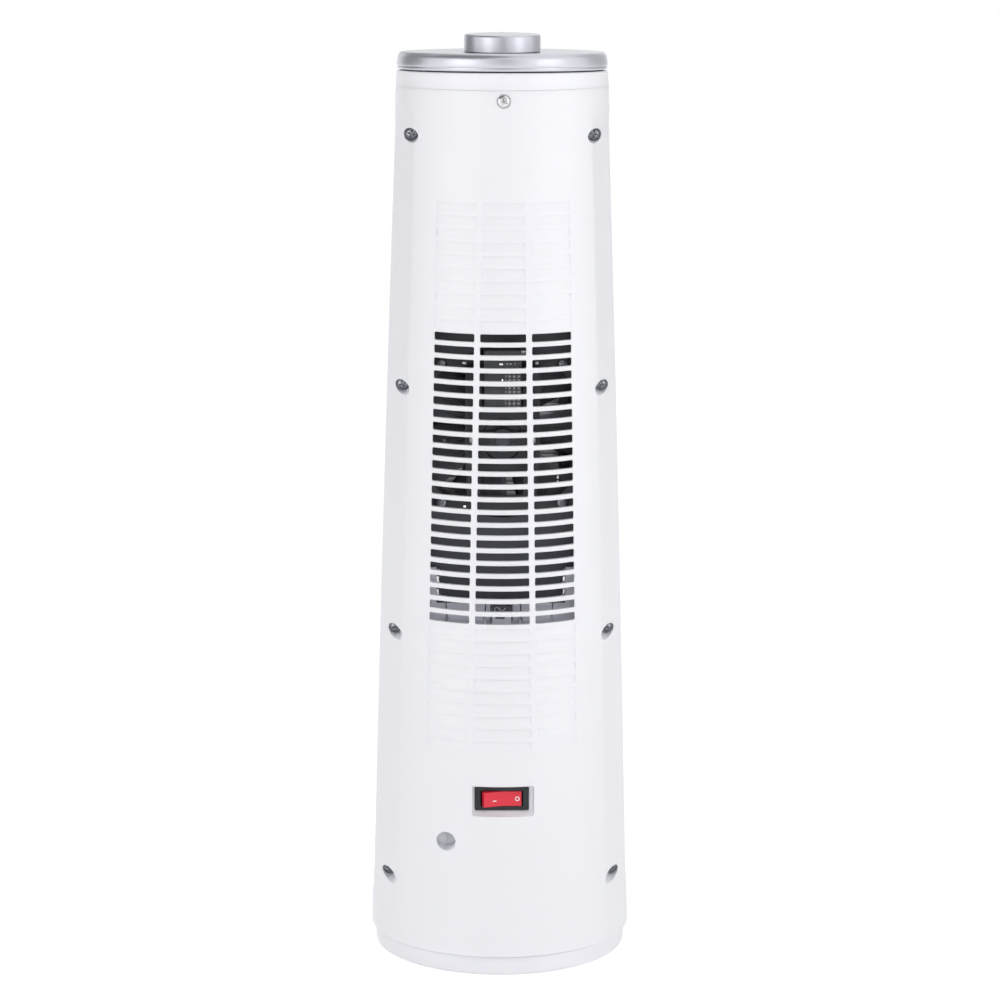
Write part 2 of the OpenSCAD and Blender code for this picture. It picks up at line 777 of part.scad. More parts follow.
module bracket_screws() color(steel)
    for (a = [45:90:315])
        rotate([0, 0, a]) translate([cap_r - 6.8, 0, bracket_z1 + bracket_plate_t])
            screw_z(2, 1.5, 1.05, 7);

module rotary_switch() color(charcoal) difference() {
    union() {
        translate([-switch_box / 2, -switch_box / 2, bracket_z1 - switch_box_h])
            cube([switch_box, switch_box, switch_box_h]);
        cylinder_between(bushing_r, bracket_z1 - eps, bracket_z1 + bracket_plate_t + 3);
        for (i = [0:4])
            rotate([0, 0, i * 72]) translate([8, -2.4, bracket_z1 - switch_box_h - 6])
                cube([0.8, 4.8, 6 + eps]);
    }
    cylinder_between(motor_shaft_r + fit, bracket_z1 - 12, bracket_z1 + 9);
}

module switch_nut() color(steel) difference() {
    cylinder_between(7.5, bracket_z1 + bracket_plate_t, bracket_z1 + bracket_plate_t + 2);
    cylinder_between(bushing_r + fit, bracket_z1, bracket_z1 + 9);
}

module knob_shaft() color(steel)
    cylinder_between(motor_shaft_r, bracket_z1 - 11, knob_z1 - 3);

module knob() color(silver) difference() {
    union() {
        difference() {
            round = 1.6;
            rotate_extrude($fn = fine) polygon(concat(
                [[0, knob_z0], [knob_r, knob_z0]],
                [for (a = [0:18:90]) [knob_r - round + round * cos(a), knob_z1 - round + round * sin(a)]],
                [[0, knob_z1]]));
            cylinder_between(knob_r - knob_wall, knob_z0 - 1, knob_z1 - 2.5);
        }
        cylinder_between(6, knob_z0, knob_z1 - 2);
        for (a = [0:60:300])
            rotate([0, 0, a]) translate([5, -0.6, knob_z0 + 2]) cube([knob_r - 6, 1.2, knob_h - 4]);
    }
    cylinder_between(motor_shaft_r + push, knob_z0 - 1, knob_z1 - 3);
    translate([-0.6, -knob_r + 2, knob_z1 - 0.5]) cube([1.2, 8, 1]);
}

// Rocker switch

module switch_housing() color([0.1, 0.1, 0.11]) difference() {
    union() {
        translate([0, 0, switch_z]) {
            prism_y(bezel_w, bezel_h, 0.8, pocket_y, pocket_y + flange_t);
            prism_y(bezel_w - 2.6, bezel_h - 2.4, 0.4, pocket_y - housing_depth, pocket_y + eps);
        }
        for (x = [-9, 0, 9])
            translate([x - 0.4, pocket_y - housing_depth - 7, switch_z - 2.4]) cube([0.8, 7 + eps, 4.8]);
    }
    translate([0, 0, switch_z])
        prism_y(rocker_w + 2 * rocker_gap + 0.8, rocker_h + 2 * rocker_gap, 0.4, rocker_pivot_y - 8, 90);
    translate([0, rocker_pivot_y, switch_z - rocker_h / 2 - rocker_pin_l - 0.2])
        cylinder(r = rocker_pin_r + fit, h = rocker_h + 2 * rocker_pin_l + 0.4);
}

module switch_rocker() color([0.85, 0.06, 0.09])
    translate([0, rocker_pivot_y, switch_z]) rotate([0, 0, rocker_tilt]) {
        half = rocker_w / 2;
        rise = half * tan(rocker_tilt);
        intersection() {
            translate([0, 0, -rocker_h / 2]) linear_extrude(height = rocker_h)
                polygon([[-half - 2, -3], [half + 2, -3], [half + 2, rocker_top + rise * (half + 2) / half],
                    [0, rocker_top], [-half - 2, rocker_top + rise * (half + 2) / half]]);
            cylinder(r = half, h = rocker_h, center = true);
        }
        cylinder(r = rocker_pin_r, h = rocker_h + 2 * rocker_pin_l, center = true);
    }

// Deck and heater

module deck() color(grey) difference() {
    union() {
        intersection() {
            cylinder_between(inner_r(deck_z0) - 2, deck_z0, deck_z1);
            translate([-far, deck_y0, 0]) cube([2 * far, joint_y - 2 - deck_y0, far * 2]);
        }
        translate([-deck_half_w, deck_y0, deck_z0]) cube([2 * deck_half_w, deck_y1 - deck_y0, deck_t]);
        for (x = deck_ribs)
            translate([x - deck_rib_t / 2, deck_y0 + 4, deck_z1 - eps])
                cube([deck_rib_t, deck_y1 - deck_y0 - 6, deck_rib_h]);
    }
    translate([-8, limit_y - 20, deck_z0 - 1]) cube([16, 14, deck_t + 2]);
}

module limit_switch() color(charcoal)
    translate([-limit_size[0] / 2, limit_y, deck_z1]) {
        cube(limit_size);
        translate([2, 4, limit_size[2] - eps]) cube([limit_size[0] - 4, limit_size[1] - 8, 1.5]);
    }

module heater_frame() color(charcoal) difference() {
    union() {
        translate([0, 0, fan_z])
            prism_y(2 * shroud_half_w, 2 * shroud_half_h, 4, frame_y0, frame_y0 + frame_wall);
        translate([0, 0, fan_z])
            prism_y(2 * chassis_x + 2, 2 * chassis_dz + 2, 3, frame_y0, frame_y1);
        at_chassis() rod_y(chassis_tube_r, frame_y0, frame_y1);
    }
    translate([0, 0, fan_z]) {
        prism_y(2 * ptc_half_w, 2 * ptc_half_h, 0.3, frame_y0 + frame_wall, bay_y);
        prism_y(2 * ptc_half_w - 6, 2 * ptc_half_h - 6, 2, frame_y0 - 1, frame_y1 + 1);
        prism_y(2 * ptc_half_w + 2, 2 * frame_bay_half_h, 2, bay_y - eps, frame_y1 + 1);
    }
    at_chassis() rod_y(shank_r + seat, frame_y0 - 1, frame_y1 + 1);
}

// Positions of the heating bars across the frame
function ptc_x(i) = -ptc_half_w + seat + ptc_bar_w / 2
    + i * (2 * ptc_half_w - 2 * seat - ptc_bar_w) / (ptc_bar_count - 1);

module ptc_bars() color([0.85, 0.85, 0.86])
    for (i = [0:ptc_bar_count - 1])
        translate([ptc_x(i) - ptc_bar_w / 2, frame_y0 + frame_wall, fan_z - ptc_half_h + seat])
            cube([ptc_bar_w, ptc_depth, 2 * ptc_half_h - 2 * seat]);

module ptc_fins() color([0.8, 0.8, 0.82])
    for (i = [0:ptc_bar_count - 2]) {
        x0 = ptc_x(i) + ptc_bar_w / 2;
        x1 = ptc_x(i + 1) - ptc_bar_w / 2;
        n = floor((2 * ptc_half_h - 2) / fin_pitch);
        z0 = fan_z - n * fin_pitch / 2;
        translate([0, frame_y0 + frame_wall + ptc_depth - 1, 0])
            rotate([90, 0, 0]) linear_extrude(height = ptc_depth - 2)
            difference() {
                translate([x0, z0]) square([x1 - x0, n * fin_pitch + fin_t]);
                for (k = [0:n - 1])
                    translate([x0 + fin_t, z0 + k * fin_pitch + fin_t])
                        square([x1 - x0 - 2 * fin_t, fin_pitch - fin_t]);
            }
    }

module thermal_cutout() color([0.3, 0.2, 0.15])
    translate([0, bay_y, fan_z + (ptc_half_h + frame_bay_half_h) / 2]) {
        rod_y(cutout_r, 0, 5);
        rod_y(cutout_r - 2, 5 - eps, 6.5);
        for (side = [-1, 1])
            translate([side * cutout_r / 2 - tab[0] / 2, 6.5 - eps, -2]) cube([tab[0], 6, 4]);
    }

module fan_shroud() color(charcoal) difference() {
    union() {
        translate([0, 0, (shroud_z0 + shroud_z1) / 2])
            prism_y(2 * shroud_half_w, shroud_z1 - shroud_z0, 5, frame_y1, shroud_y1);
        translate([0, 0, shroud_z0])
            prism_y(2 * neck_half_w, 2 * neck_h, 6, frame_y1, shroud_y1);
    }
    translate([0, 0, fan_z]) rotate([-90, 0, 0]) translate([0, 0, frame_y1 - 1])
        cylinder(r = fan_r + tip_gap, h = shroud_y1 - frame_y1 + 2, $fn = fine);
    difference() {
        translate([0, 0, (shroud_z0 + shroud_z1) / 2])
            prism_y(2 * (shroud_half_w - shroud_wall), shroud_z1 - shroud_z0 - 2 * shroud_wall, 3,
                frame_y1 - 1, shroud_y1 - shroud_wall);
        translate([0, 0, fan_z]) rotate([-90, 0, 0]) translate([0, 0, frame_y1 - 2])
            cylinder(r = fan_r + tip_gap + shroud_wall, h = 80, $fn = fine);
        at_chassis() rod_y(chassis_tube_r, frame_y1, shroud_y1);
        at_bar_ends() rod_y(chassis_post_r, frame_y1, shroud_y1);
    }
    translate([0, 0, shroud_z0 - 1])
        prism_y(2 * (neck_half_w - shroud_wall), 2 * (neck_h - shroud_wall) + 2, 4,
            frame_y1 - 1, shroud_y1 - shroud_wall);
    at_chassis() rod_y(shank_r + seat, frame_y1 - 1, shroud_y1 + 1);
    at_bar_ends() rod_y(shank_r, shroud_y1 - 12, shroud_y1 + 1);
}

module chassis_screws() color(steel)
    at_chassis() translate([0, shroud_y1, 0]) screw_y(3.2, 2, shank_r - 0.25, shroud_y1 - frame_y0 + 3);

// Fan motor

module motor_bracket_screws() color(steel)
    at_bar_ends() translate([0, bracket_y1, 0]) screw_y(3, 1.8, shank_r - fit, 10);

module motor_bolts() color(steel)
    for (x = [-bolt_x, bolt_x])
        translate([x, core_y0 + core_t + bridge_t, fan_z])
            screw_y(2.8, 1.8, bolt_r - fit, core_y0 + core_t + bridge_t - shroud_y1 + 2);

module motor_bracket() color(steel) difference() {
    union() {
        for (side = [-1, 1])
            translate([0, 0, fan_z + side * bar_dz])
                prism_y(2 * bar_end_x + 2 * bar_half_h, 2 * bar_half_h, 3, shroud_y1, bracket_y1);
        for (x = [-bolt_x, bolt_x])
            translate([x, 0, fan_z]) {
                prism_y(8, 2 * bar_dz, 1, shroud_y1, bracket_y1);
                rod_y(3, bracket_y1 - eps, core_y0);
            }
        translate([0, 0, fan_z]) prism_y(40, 22, 4, shroud_y1, bracket_y1);
    }
    translate([0, 0, fan_z]) rod_y(bearing_r + push, shroud_y1 - 1, bracket_y1 + 1);
    for (x = [-bolt_x, bolt_x])
        translate([x, 0, fan_z]) rod_y(bolt_r, shroud_y1 - 1, core_y0 + 1);
    at_bar_ends() rod_y(shank_r + seat, shroud_y1 - 1, bracket_y1 + 1);
}

module motor_core() color([0.55, 0.55, 0.57]) difference() {
    translate([-core_half_w, core_y0, fan_z - core_bottom])
        cube([2 * core_half_w, core_t, core_bottom + core_top]);
    translate([0, 0, fan_z]) rod_y(rotor_r + air_gap, core_y0 - 1, core_y0 + core_t + 1);
    for (x = [-bolt_x, bolt_x])
        translate([x, 0, fan_z]) rod_y(bolt_r + seat, core_y0 - 1, core_y0 + core_t + 1);
    translate([-core_window[0] / 2, core_y0 - 1, fan_z + core_window_z])
        cube([core_window[0], core_t + 2, core_window[1]]);
}

module motor_coil() color([0.75, 0.42, 0.2]) difference() {
    translate([-coil_half_w, core_y0 - coil_side, fan_z + core_window_z + 1])
        cube([2 * coil_half_w, core_t + 2 * coil_side, core_top + coil_over - core_window_z - 1]);
    translate([-coil_half_w - 1, core_y0 - seat, fan_z + core_top - core_bar_h - seat])
        cube([2 * coil_half_w + 2, core_t + 2 * seat, core_bar_h + 2 * seat]);
}

module rear_bearing() color(silver) difference() {
    union() {
        translate([-core_half_w + 2, core_y0 + core_t, fan_z - 5]) cube([2 * core_half_w - 4, bridge_t, 10]);
        translate([0, 0, fan_z]) rod_y(bearing_r + 2, core_y0 + core_t, core_y0 + core_t + bearing_t);
    }
    translate([0, 0, fan_z]) {
        rod_y(shaft_r + fit, core_y0, core_y0 + core_t + bearing_t + 1);
        rod_y(rotor_r - 6, core_y0, core_y0 + core_t + eps);
    }
    for (x = [-bolt_x, bolt_x])
        translate([x, 0, fan_z]) rod_y(bolt_r + seat, core_y0, core_y0 + core_t + bridge_t + 1);
}

module front_bearing() color(silver) difference() {
    translate([0, 0, fan_z]) {
        rod_y(bearing_r, shroud_y1 - 2, bracket_y1);
        rod_y(bearing_r + 2, bracket_y1, bracket_y1 + 2);
    }
    translate([0, 0, fan_z]) rod_y(shaft_r + fit, shroud_y1 - 9, bracket_y1 + 9);
}

module motor_rotor() color(steel) difference() {
    translate([0, 0, fan_z]) rod_y(rotor_r, core_y0, core_y0 + core_t - 1);
    translate([0, 0, fan_z]) rod_y(shaft_r + push, core_y0 - 1, core_y0 + core_t + 1);
}

module fan_shaft() color(steel)
    translate([0, 0, fan_z]) rod_y(shaft_r, fan_y0 + 4, core_y0 + core_t + bearing_t - 0.5);

module fan_wheel() color([0.16, 0.165, 0.19]) translate([0, fan_y0, fan_z]) rotate([-90, 0, 0])
    difference() {
        union() {
            cylinder(r = hub_fan_r, h = blade_depth + 4);
            for (i = [0:blade_count - 1])
                rotate([0, 0, i * 360 / blade_count])
                    translate([0, 0, 2])
                        linear_extrude(height = blade_depth, twist = -blade_twist, slices = 8, $fn = 4)
                            translate([hub_fan_r - 1, -blade_t / 2])
                                square([fan_r - hub_fan_r + 1, blade_t]);
        }
        translate([0, 0, 5]) difference() {
            cylinder(r = hub_fan_r - 1.8, h = blade_depth + 4);
            cylinder(r = 6, h = blade_depth + 4);
        }
        translate([0, 0, 4]) cylinder(r = shaft_r + push, h = blade_depth + 9);
    }

base_plate();
rubber_feet();
glide_ring();
retainer_ring();
retainer_screws();
bottom_plate();
plate_screws();
osc_motor();
osc_motor_screws();
crank_shaft();
osc_crank();
tilt_switch();
terminal_block();
rear_cover();
front_cover();
front_grille();
side_screws();
top_screw();
collar_ring();
top_cap();
control_bracket();
bracket_screws();
rotary_switch();
switch_nut();
knob_shaft();
knob();
switch_housing();
switch_rocker();
deck();
limit_switch();
heater_frame();
ptc_bars();
ptc_fins();
thermal_cutout();
fan_shroud();
chassis_screws();
motor_bracket();
motor_bracket_screws();
motor_core();
motor_coil();
rear_bearing();
front_bearing();
motor_rotor();
motor_bolts();
fan_shaft();
fan_wheel();
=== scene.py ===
"""Looks of the ceramic tower heater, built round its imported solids.

Run as a script, it makes every piece, the lights and the camera. The sizes that a
user may change are in the property groups, and each piece has an operator of its own.
"""

import json
import math

import bmesh
import bpy
from bpy.props import FloatProperty, FloatVectorProperty, IntProperty, PointerProperty
from mathutils import Matrix, Vector


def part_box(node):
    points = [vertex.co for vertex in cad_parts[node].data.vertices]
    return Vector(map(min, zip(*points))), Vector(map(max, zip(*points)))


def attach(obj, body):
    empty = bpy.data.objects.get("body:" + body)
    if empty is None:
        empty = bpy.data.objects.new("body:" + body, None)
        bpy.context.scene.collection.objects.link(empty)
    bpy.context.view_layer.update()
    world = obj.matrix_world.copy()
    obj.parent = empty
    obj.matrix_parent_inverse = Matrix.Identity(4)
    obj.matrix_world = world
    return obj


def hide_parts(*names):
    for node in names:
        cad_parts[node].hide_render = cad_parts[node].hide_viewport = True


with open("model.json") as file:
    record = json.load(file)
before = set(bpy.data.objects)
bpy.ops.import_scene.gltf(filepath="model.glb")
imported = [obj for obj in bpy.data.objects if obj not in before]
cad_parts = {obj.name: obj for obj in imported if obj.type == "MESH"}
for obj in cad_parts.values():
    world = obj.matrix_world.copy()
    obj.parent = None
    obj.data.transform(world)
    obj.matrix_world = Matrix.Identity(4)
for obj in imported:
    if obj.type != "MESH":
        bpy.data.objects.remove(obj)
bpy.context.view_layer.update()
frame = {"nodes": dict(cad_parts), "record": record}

bl_info = {
    "name": "Ceramic tower heater",
    "version": (1, 0, 0),
    "blender": (4, 5, 0),
    "location": "View3D > Sidebar > Heater",
    "description": "Builds the looks of a ceramic tower heater round its solids",
    "category": "Object",
}

MM = 0.001
BODY_OF_NODE = {
    node: body for body, nodes in frame["record"]["behaviour"]["bodies"].items() for node in nodes
}
SLOT_OF_NODE = {row["node"]: row["material_slot"] for row in frame["record"]["subparts"]}

# Nodes deep in shade inside the body, which get a lighter copy of their slot's plastic as painted light
LIT_COPY_OF_NODE = {"fan_wheel": "wheel_plastic", "heater_frame": "wheel_plastic"}

# Sizes of the body's form, read from the solids
BODY_Z0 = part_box("rear_cover")[0].z
BODY_Z1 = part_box("rear_cover")[1].z
R_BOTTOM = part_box("rear_cover")[1].x
R_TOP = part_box("collar_ring")[1].x
OUTSIDE = 90 * MM  # beyond the body's side, where a cutting tool ends


# Form of the body


def body_radius(z):
    """Radius of the body's round side at a height."""
    sizes = bpy.context.scene.heater_body
    t = (z - BODY_Z0) / (BODY_Z1 - BODY_Z0)
    return R_BOTTOM + (R_TOP - R_BOTTOM) * t + 4 * sizes.bulge * t * (1 - t)


def land_distance(z, share):
    """Distance of a flat land from the axis at a height, or None where there is no land."""
    sizes = bpy.context.scene.heater_body
    low_start, low_full = BODY_Z0 + sizes.ramp_low_start, BODY_Z0 + sizes.ramp_low_full
    high_full, high_end = BODY_Z1 - sizes.ramp_high_full, BODY_Z1 - sizes.ramp_high_end
    if z <= low_start or z >= high_end:
        return None
    if z < low_full:
        t = (z - low_start) / (low_full - low_start)
        return body_radius(low_start) * (1 - t) + body_radius(low_full) * share * t
    if z > high_full:
        t = (z - high_full) / (high_end - high_full)
        return body_radius(high_full) * share * (1 - t) + body_radius(high_end) * t
    return body_radius(z) * share


def surface_point(angle, z, inset=0.0):
    """Point on the body's surface, with its four flat lands, moved inwards by inset."""
    sizes = bpy.context.scene.heater_body
    widest = 1.0  # radians: every land is narrower than this to each side
    r = body_radius(z) - inset
    lands = (
        (0.0, sizes.side_share), (math.pi, sizes.side_share),
        (sizes.flank_angle, sizes.flank_share), (math.pi - sizes.flank_angle, sizes.flank_share),
    )
    for direction, share in lands:
        distance = land_distance(z, share)
        turn = math.remainder(angle - direction, math.tau)
        if distance is not None and abs(turn) < widest:
            r = min(r, (distance - inset) / math.cos(turn))
    return Vector((r * math.cos(angle), r * math.sin(angle), z))


def body_heights():
    """Heights of the body's grid, with lines where the lands' ramps begin and end."""
    sizes = bpy.context.scene.heater_body
    marks = (
        BODY_Z0, BODY_Z0 + sizes.ramp_low_start, BODY_Z0 + sizes.ramp_low_full,
        BODY_Z1 - sizes.ramp_high_full, BODY_Z1 - sizes.ramp_high_end, BODY_Z1,
    )
    heights = []
    for a, b in zip(marks, marks[1:]):
        count = max(2, round((b - a) / sizes.grid_height))
        heights += [a + (b - a) * i / count for i in range(count)]
    return heights + [BODY_Z1]


def body_angles():
    """Angles of half the body's grid, with a line at each side of where a land meets the round side."""
    sizes = bpy.context.scene.heater_body
    start, end, near = 0.0, math.pi, math.radians(0.35)
    flank, share = sizes.flank_angle, sizes.flank_share
    ratio = share / sizes.side_share
    meeting = math.atan((ratio - math.cos(flank)) / math.sin(flank))
    marks = {start, end, meeting, flank + math.acos(share), -math.acos(sizes.side_share)}
    marks |= {math.pi - a for a in marks if start < a < end or a < 0}
    marks |= {a + math.tau for a in marks if a < 0} | {a - math.tau for a in marks if a > math.pi}
    marks = sorted({m + s for m in marks for s in (-near, near) if start < m + s < end} | {start, end})
    angles = []
    for a, b in zip(marks, marks[1:]):
        count = max(1, math.ceil((b - a) / sizes.grid_angle))
        angles += [a + (b - a) * i / count for i in range(count)]
    return angles + [end]


# Mesh helpers


def new_object(name, data):
    """Adds a mesh, curve, lamp or camera to the scene as an object at the origin."""
    item = bpy.data.objects.new(name, data)
    bpy.context.scene.collection.objects.link(item)
    return item


def object_from_bmesh(name, bm):
    """Turns a bmesh into an object, with its normals pointing outwards."""
    bmesh.ops.recalc_face_normals(bm, faces=bm.faces)
    mesh = bpy.data.meshes.new(name)
    bm.to_mesh(mesh)
    bm.free()
    return new_object(name, mesh)


def discard(item):
    """Removes an object and its mesh."""
    mesh = item.data
    bpy.data.objects.remove(item)
    bpy.data.meshes.remove(mesh)


def joined(name, parts):
    """One object from several bmeshes, which are used up."""
    whole = bmesh.new()
    for part in parts:
        mesh = bpy.data.meshes.new(name)
        part.to_mesh(mesh)
        part.free()
        whole.from_mesh(mesh)
        bpy.data.meshes.remove(mesh)
    return object_from_bmesh(name, whole)


def add_to(piece, parts):
    """Adds bmeshes, which are used up, to a piece's own mesh."""
    extra = joined(piece.name + "_extra", parts)
    whole = bmesh.new()
    whole.from_mesh(piece.data)
    whole.from_mesh(extra.data)
    whole.to_mesh(piece.data)
    whole.free()
    discard(extra)


def bake_modifiers(piece):
    """Replaces a piece's mesh by its evaluated one and removes the modifiers."""
    bpy.context.view_layer.update()
    graph = bpy.context.evaluated_depsgraph_get()
    mesh = bpy.data.meshes.new_from_object(piece.evaluated_get(graph))
    old = piece.data
    piece.modifiers.clear()
    piece.data = mesh
    mesh.name = piece.name
    bpy.data.meshes.remove(old)


def combine(piece, tool, operation):
    """Joins or cuts a piece with a tool, which is used up."""
    cut = piece.modifiers.new("Combine", "BOOLEAN")
    cut.object = tool
    cut.operation = operation
    cut.solver = "EXACT"
    bake_modifiers(piece)
    discard(tool)


def soften(piece, width):
    """Rounds a piece's sharp edges and shades it smooth between them."""
    bevel = piece.modifiers.new("Round edges", "BEVEL")
    bevel.width = width
    bevel.segments = 2
    bevel.limit_method = "ANGLE"
    bevel.angle_limit = math.radians(30)
    bevel.harden_normals = False
    bake_modifiers(piece)
    shade(piece)


def shade(piece, angle=35):
    """Smooth shading, with sharp edges where faces meet at more than an angle."""
    mesh = piece.data
    mesh.polygons.foreach_set("use_smooth", [True] * len(mesh.polygons))
    mesh.set_sharp_from_angle(angle=math.radians(angle))


def material_of(node):
    """The material of a node's solid and of the piece that stands for it; nodes deep in shade get a lighter
    copy of their plastic as painted light.
    """
    return MATERIALS[LIT_COPY_OF_NODE.get(node, SLOT_OF_NODE[node])]


def finish_piece(piece, node, finish=None):
    """Gives a piece its material and body. Without a finish of its own, it stands for the node."""
    piece.data.materials.clear()
    piece.data.materials.append(MATERIALS[finish] if finish else material_of(node))
    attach(piece, BODY_OF_NODE[node])
    if not finish:
        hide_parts(node)


def loft(rings):
    """A closed solid through rings of points that all have the same count."""
    bm = bmesh.new()
    rings = [[bm.verts.new(point) for point in ring] for ring in rings]
    bm.faces.new(rings[0])
    bm.faces.new(reversed(rings[-1]))
    count = len(rings[0])
    for near, far in zip(rings, rings[1:]):
        for i in range(count):
            j = (i + 1) % count
            bm.faces.new((near[i], far[i], far[j], near[j]))
    return bm


def prism_y(width, height, radius, y0, y1, centre=(0.0, 0.0), steps=6):
    """A rounded rectangular prism along Y, centred on x and z."""
    outline = []
    for k, (side_x, side_z) in enumerate(((1, 1), (-1, 1), (-1, -1), (1, -1))):
        corner_x = (width / 2 - radius) * side_x
        corner_z = (height / 2 - radius) * side_z
        for i in range(steps + 1):
            a = math.radians(90 * k + 90 * i / steps)
            outline.append((corner_x + radius * math.cos(a), corner_z + radius * math.sin(a)))
    return loft([[(centre[0] + x, y, centre[1] + z) for x, z in outline] for y in (y0, y1)])


def rod_y(radius, y0, y1, x, z, segments=48):
    """A cylinder along Y."""
    bm = bmesh.new()
    bmesh.ops.create_cone(
        bm, cap_ends=True, segments=segments, radius1=radius, radius2=radius, depth=y1 - y0,
        matrix=Matrix.Translation((x, (y0 + y1) / 2, z)) @ Matrix.Rotation(math.pi / 2, 4, "X"))
    return bm


def lathe(profile, segments=48):
    """A solid turned about Z from points of radius and height, closed where it meets the axis."""
    bm = bmesh.new()
    rings = []
    for r, z in profile:
        turns = [math.tau * k / segments for k in range(segments)] if r > 1e-7 else [0.0]
        rings.append([bm.verts.new((r * math.cos(a), r * math.sin(a), z)) for a in turns])
    for low, high in zip(rings, rings[1:]):
        for k in range(segments):
            j = (k + 1) % segments
            corners = (low[k % len(low)], low[j % len(low)], high[j % len(high)], high[k % len(high)])
            bm.faces.new(tuple(dict.fromkeys(corners)))
    return bm


def body_half(name, turn, inset, wall):
    """A closed slab of half the body's form between two insets, turned to the rear or the front."""
    angles, heights = [a + turn for a in body_angles()], body_heights()
    bm = bmesh.new()
    skins = [
        [[bm.verts.new(surface_point(a, z, depth)) for a in angles] for z in heights]
        for depth in (inset, inset + wall)
    ]
    for skin in skins:
        for low, high in zip(skin, skin[1:]):
            for k in range(len(angles) - 1):
                bm.faces.new((low[k], low[k + 1], high[k + 1], high[k]))
    outer, inner = skins
    for row in (0, -1):
        for k in range(len(angles) - 1):
            bm.faces.new((outer[row][k], outer[row][k + 1], inner[row][k + 1], inner[row][k]))
    for column in (0, -1):
        for j in range(len(heights) - 1):
            bm.faces.new((outer[j][column], outer[j + 1][column], inner[j + 1][column], inner[j][column]))
    return object_from_bmesh(name, bm)


def merged(node):
    """A bmesh copy of a solid, with its doubles merged and its flat faces joined."""
    bm = bmesh.new()
    bm.from_mesh(frame["nodes"][node].data)
    bmesh.ops.remove_doubles(bm, verts=bm.verts, dist=0.002 * MM)
    bmesh.ops.dissolve_limit(bm, angle_limit=math.radians(0.3), verts=bm.verts, edges=bm.edges)
    return bm


def rounded_copy(node, width):
    """A copy of a solid with rounded edges, which stands for it."""
    mesh = bpy.data.meshes.new(node + "_skin")
    bm = merged(node)
    bm.to_mesh(mesh)
    bm.free()
    piece = new_object(node + "_skin", mesh)
    soften(piece, width)
    finish_piece(piece, node)
    return piece


def loose_boxes(node):
    """Low and high corner of each separate solid of a node."""
    bm = merged(node)
    left = set(bm.verts)
    boxes = []
    while left:
        island, front = set(), [left.pop()]
        while front:
            vert = front.pop()
            island.add(vert)
            near = {edge.other_vert(vert) for edge in vert.link_edges} & left
            left -= near
            front += near
        points = [vert.co for vert in island]
        boxes.append([Vector([pick(p[i] for p in points) for i in range(3)]) for pick in (min, max)])
    bm.free()
    return sorted(boxes, key=lambda box: tuple(round(v, 5) for v in box[0]))


# Materials


class Nodes:
    """A short way to add, set and link the nodes of one tree."""

    def __init__(self, tree):
        self.tree = tree

    def put(self, source, socket):
        """Links a socket to another, or sets its value."""
        if isinstance(source, bpy.types.NodeSocket):
            self.tree.links.new(source, socket)
        else:
            socket.default_value = source

    def node(self, kind, **settings):
        """Adds a node with its settings."""
        node = self.tree.nodes.new(kind)
        for key, value in settings.items():
            setattr(node, key, value)
        return node

    def feed(self, node, **sources):
        """Feeds a node's inputs, by their names with _ for a space."""
        for name, source in sources.items():
            self.put(source, node.inputs[name.replace("_", " ")])
        return node

    def run_through(self, kind, *sources, **settings):
        """Adds a node, feeds its inputs in their order and returns its first output."""
        node = self.node(kind, **settings)
        for source, socket in zip(sources, node.inputs):
            self.put(source, socket)
        return node.outputs[0]

    def step(self, operation, a, b):
        """One step of arithmetic between values or sockets."""
        return self.run_through("ShaderNodeMath", a, b, operation=operation)

    def shown_white(self):
        """1 for what the camera and shiny surfaces see, and 0 for all other light."""
        path = self.node("ShaderNodeLightPath")
        return self.step("MAXIMUM", path.outputs["Is Camera Ray"], path.outputs["Is Glossy Ray"])


class NodeSheet(Nodes):
    """The nodes of one material."""

    def __init__(self, name):
        self.material = bpy.data.materials.new(name)
        self.material.use_nodes = True
        super().__init__(self.material.node_tree)
        self.shader = self.tree.nodes["Principled BSDF"]
        self.coords = self.node("ShaderNodeTexCoord").outputs["Object"]

    def surface(self, **sources):
        """Feeds the shader's own inputs."""
        self.feed(self.shader, **sources)

    def noise(self, scale, detail=2.0, roughness=0.5, stretch=None):
        """A noise pattern on the object's coordinates, squeezed by stretch."""
        place = self.coords
        if stretch:
            mapping = self.feed(self.node("ShaderNodeMapping"), Vector=place, Scale=stretch)
            place = mapping.outputs["Vector"]
        node = self.node("ShaderNodeTexNoise")
        self.feed(node, Vector=place, Scale=scale, Detail=detail, Roughness=roughness)
        return node.outputs["Fac"]

    def bands(self, pitch, direction):
        """Fine even bands across one axis, a pitch apart."""
        node = self.node("ShaderNodeTexWave", wave_type="BANDS", bands_direction=direction)
        self.feed(node, Vector=self.coords, Scale=math.pi / (10 * pitch), Distortion=0.0)
        return node.outputs["Fac"]

    def cells(self, scale):
        """Small random cells, such as flakes in paint."""
        node = self.feed(self.node("ShaderNodeTexVoronoi"), Vector=self.coords, Scale=scale)
        return node.outputs["Color"]

    def spread(self, value, low, high):
        """Maps a value from 0 to 1 onto a range."""
        node = self.feed(self.node("ShaderNodeMapRange"), Value=value, To_Min=low, To_Max=high)
        return node.outputs["Result"]

    def tint(self, value, dark, light):
        """A colour between two, by a value."""
        node = self.node("ShaderNodeMix", data_type="RGBA")
        self.feed(node, Factor=value, A=(*dark, 1.0), B=(*light, 1.0))
        return node.outputs["Result"]

    def bump(self, height, strength, distance):
        """Raises the surface by a pattern, up to a distance."""
        node = self.node("ShaderNodeBump")
        self.feed(node, Height=height, Strength=strength, Distance=distance)
        self.surface(Normal=node.outputs["Normal"])

    def show(self, shader):
        """Shows a shader in place of the surface's own."""
        self.put(shader, self.tree.nodes["Material Output"].inputs["Surface"])

    def glow(self, strength):
        """Plain white light of a strength."""
        return self.feed(self.node("ShaderNodeEmission"), Strength=strength).outputs[0]


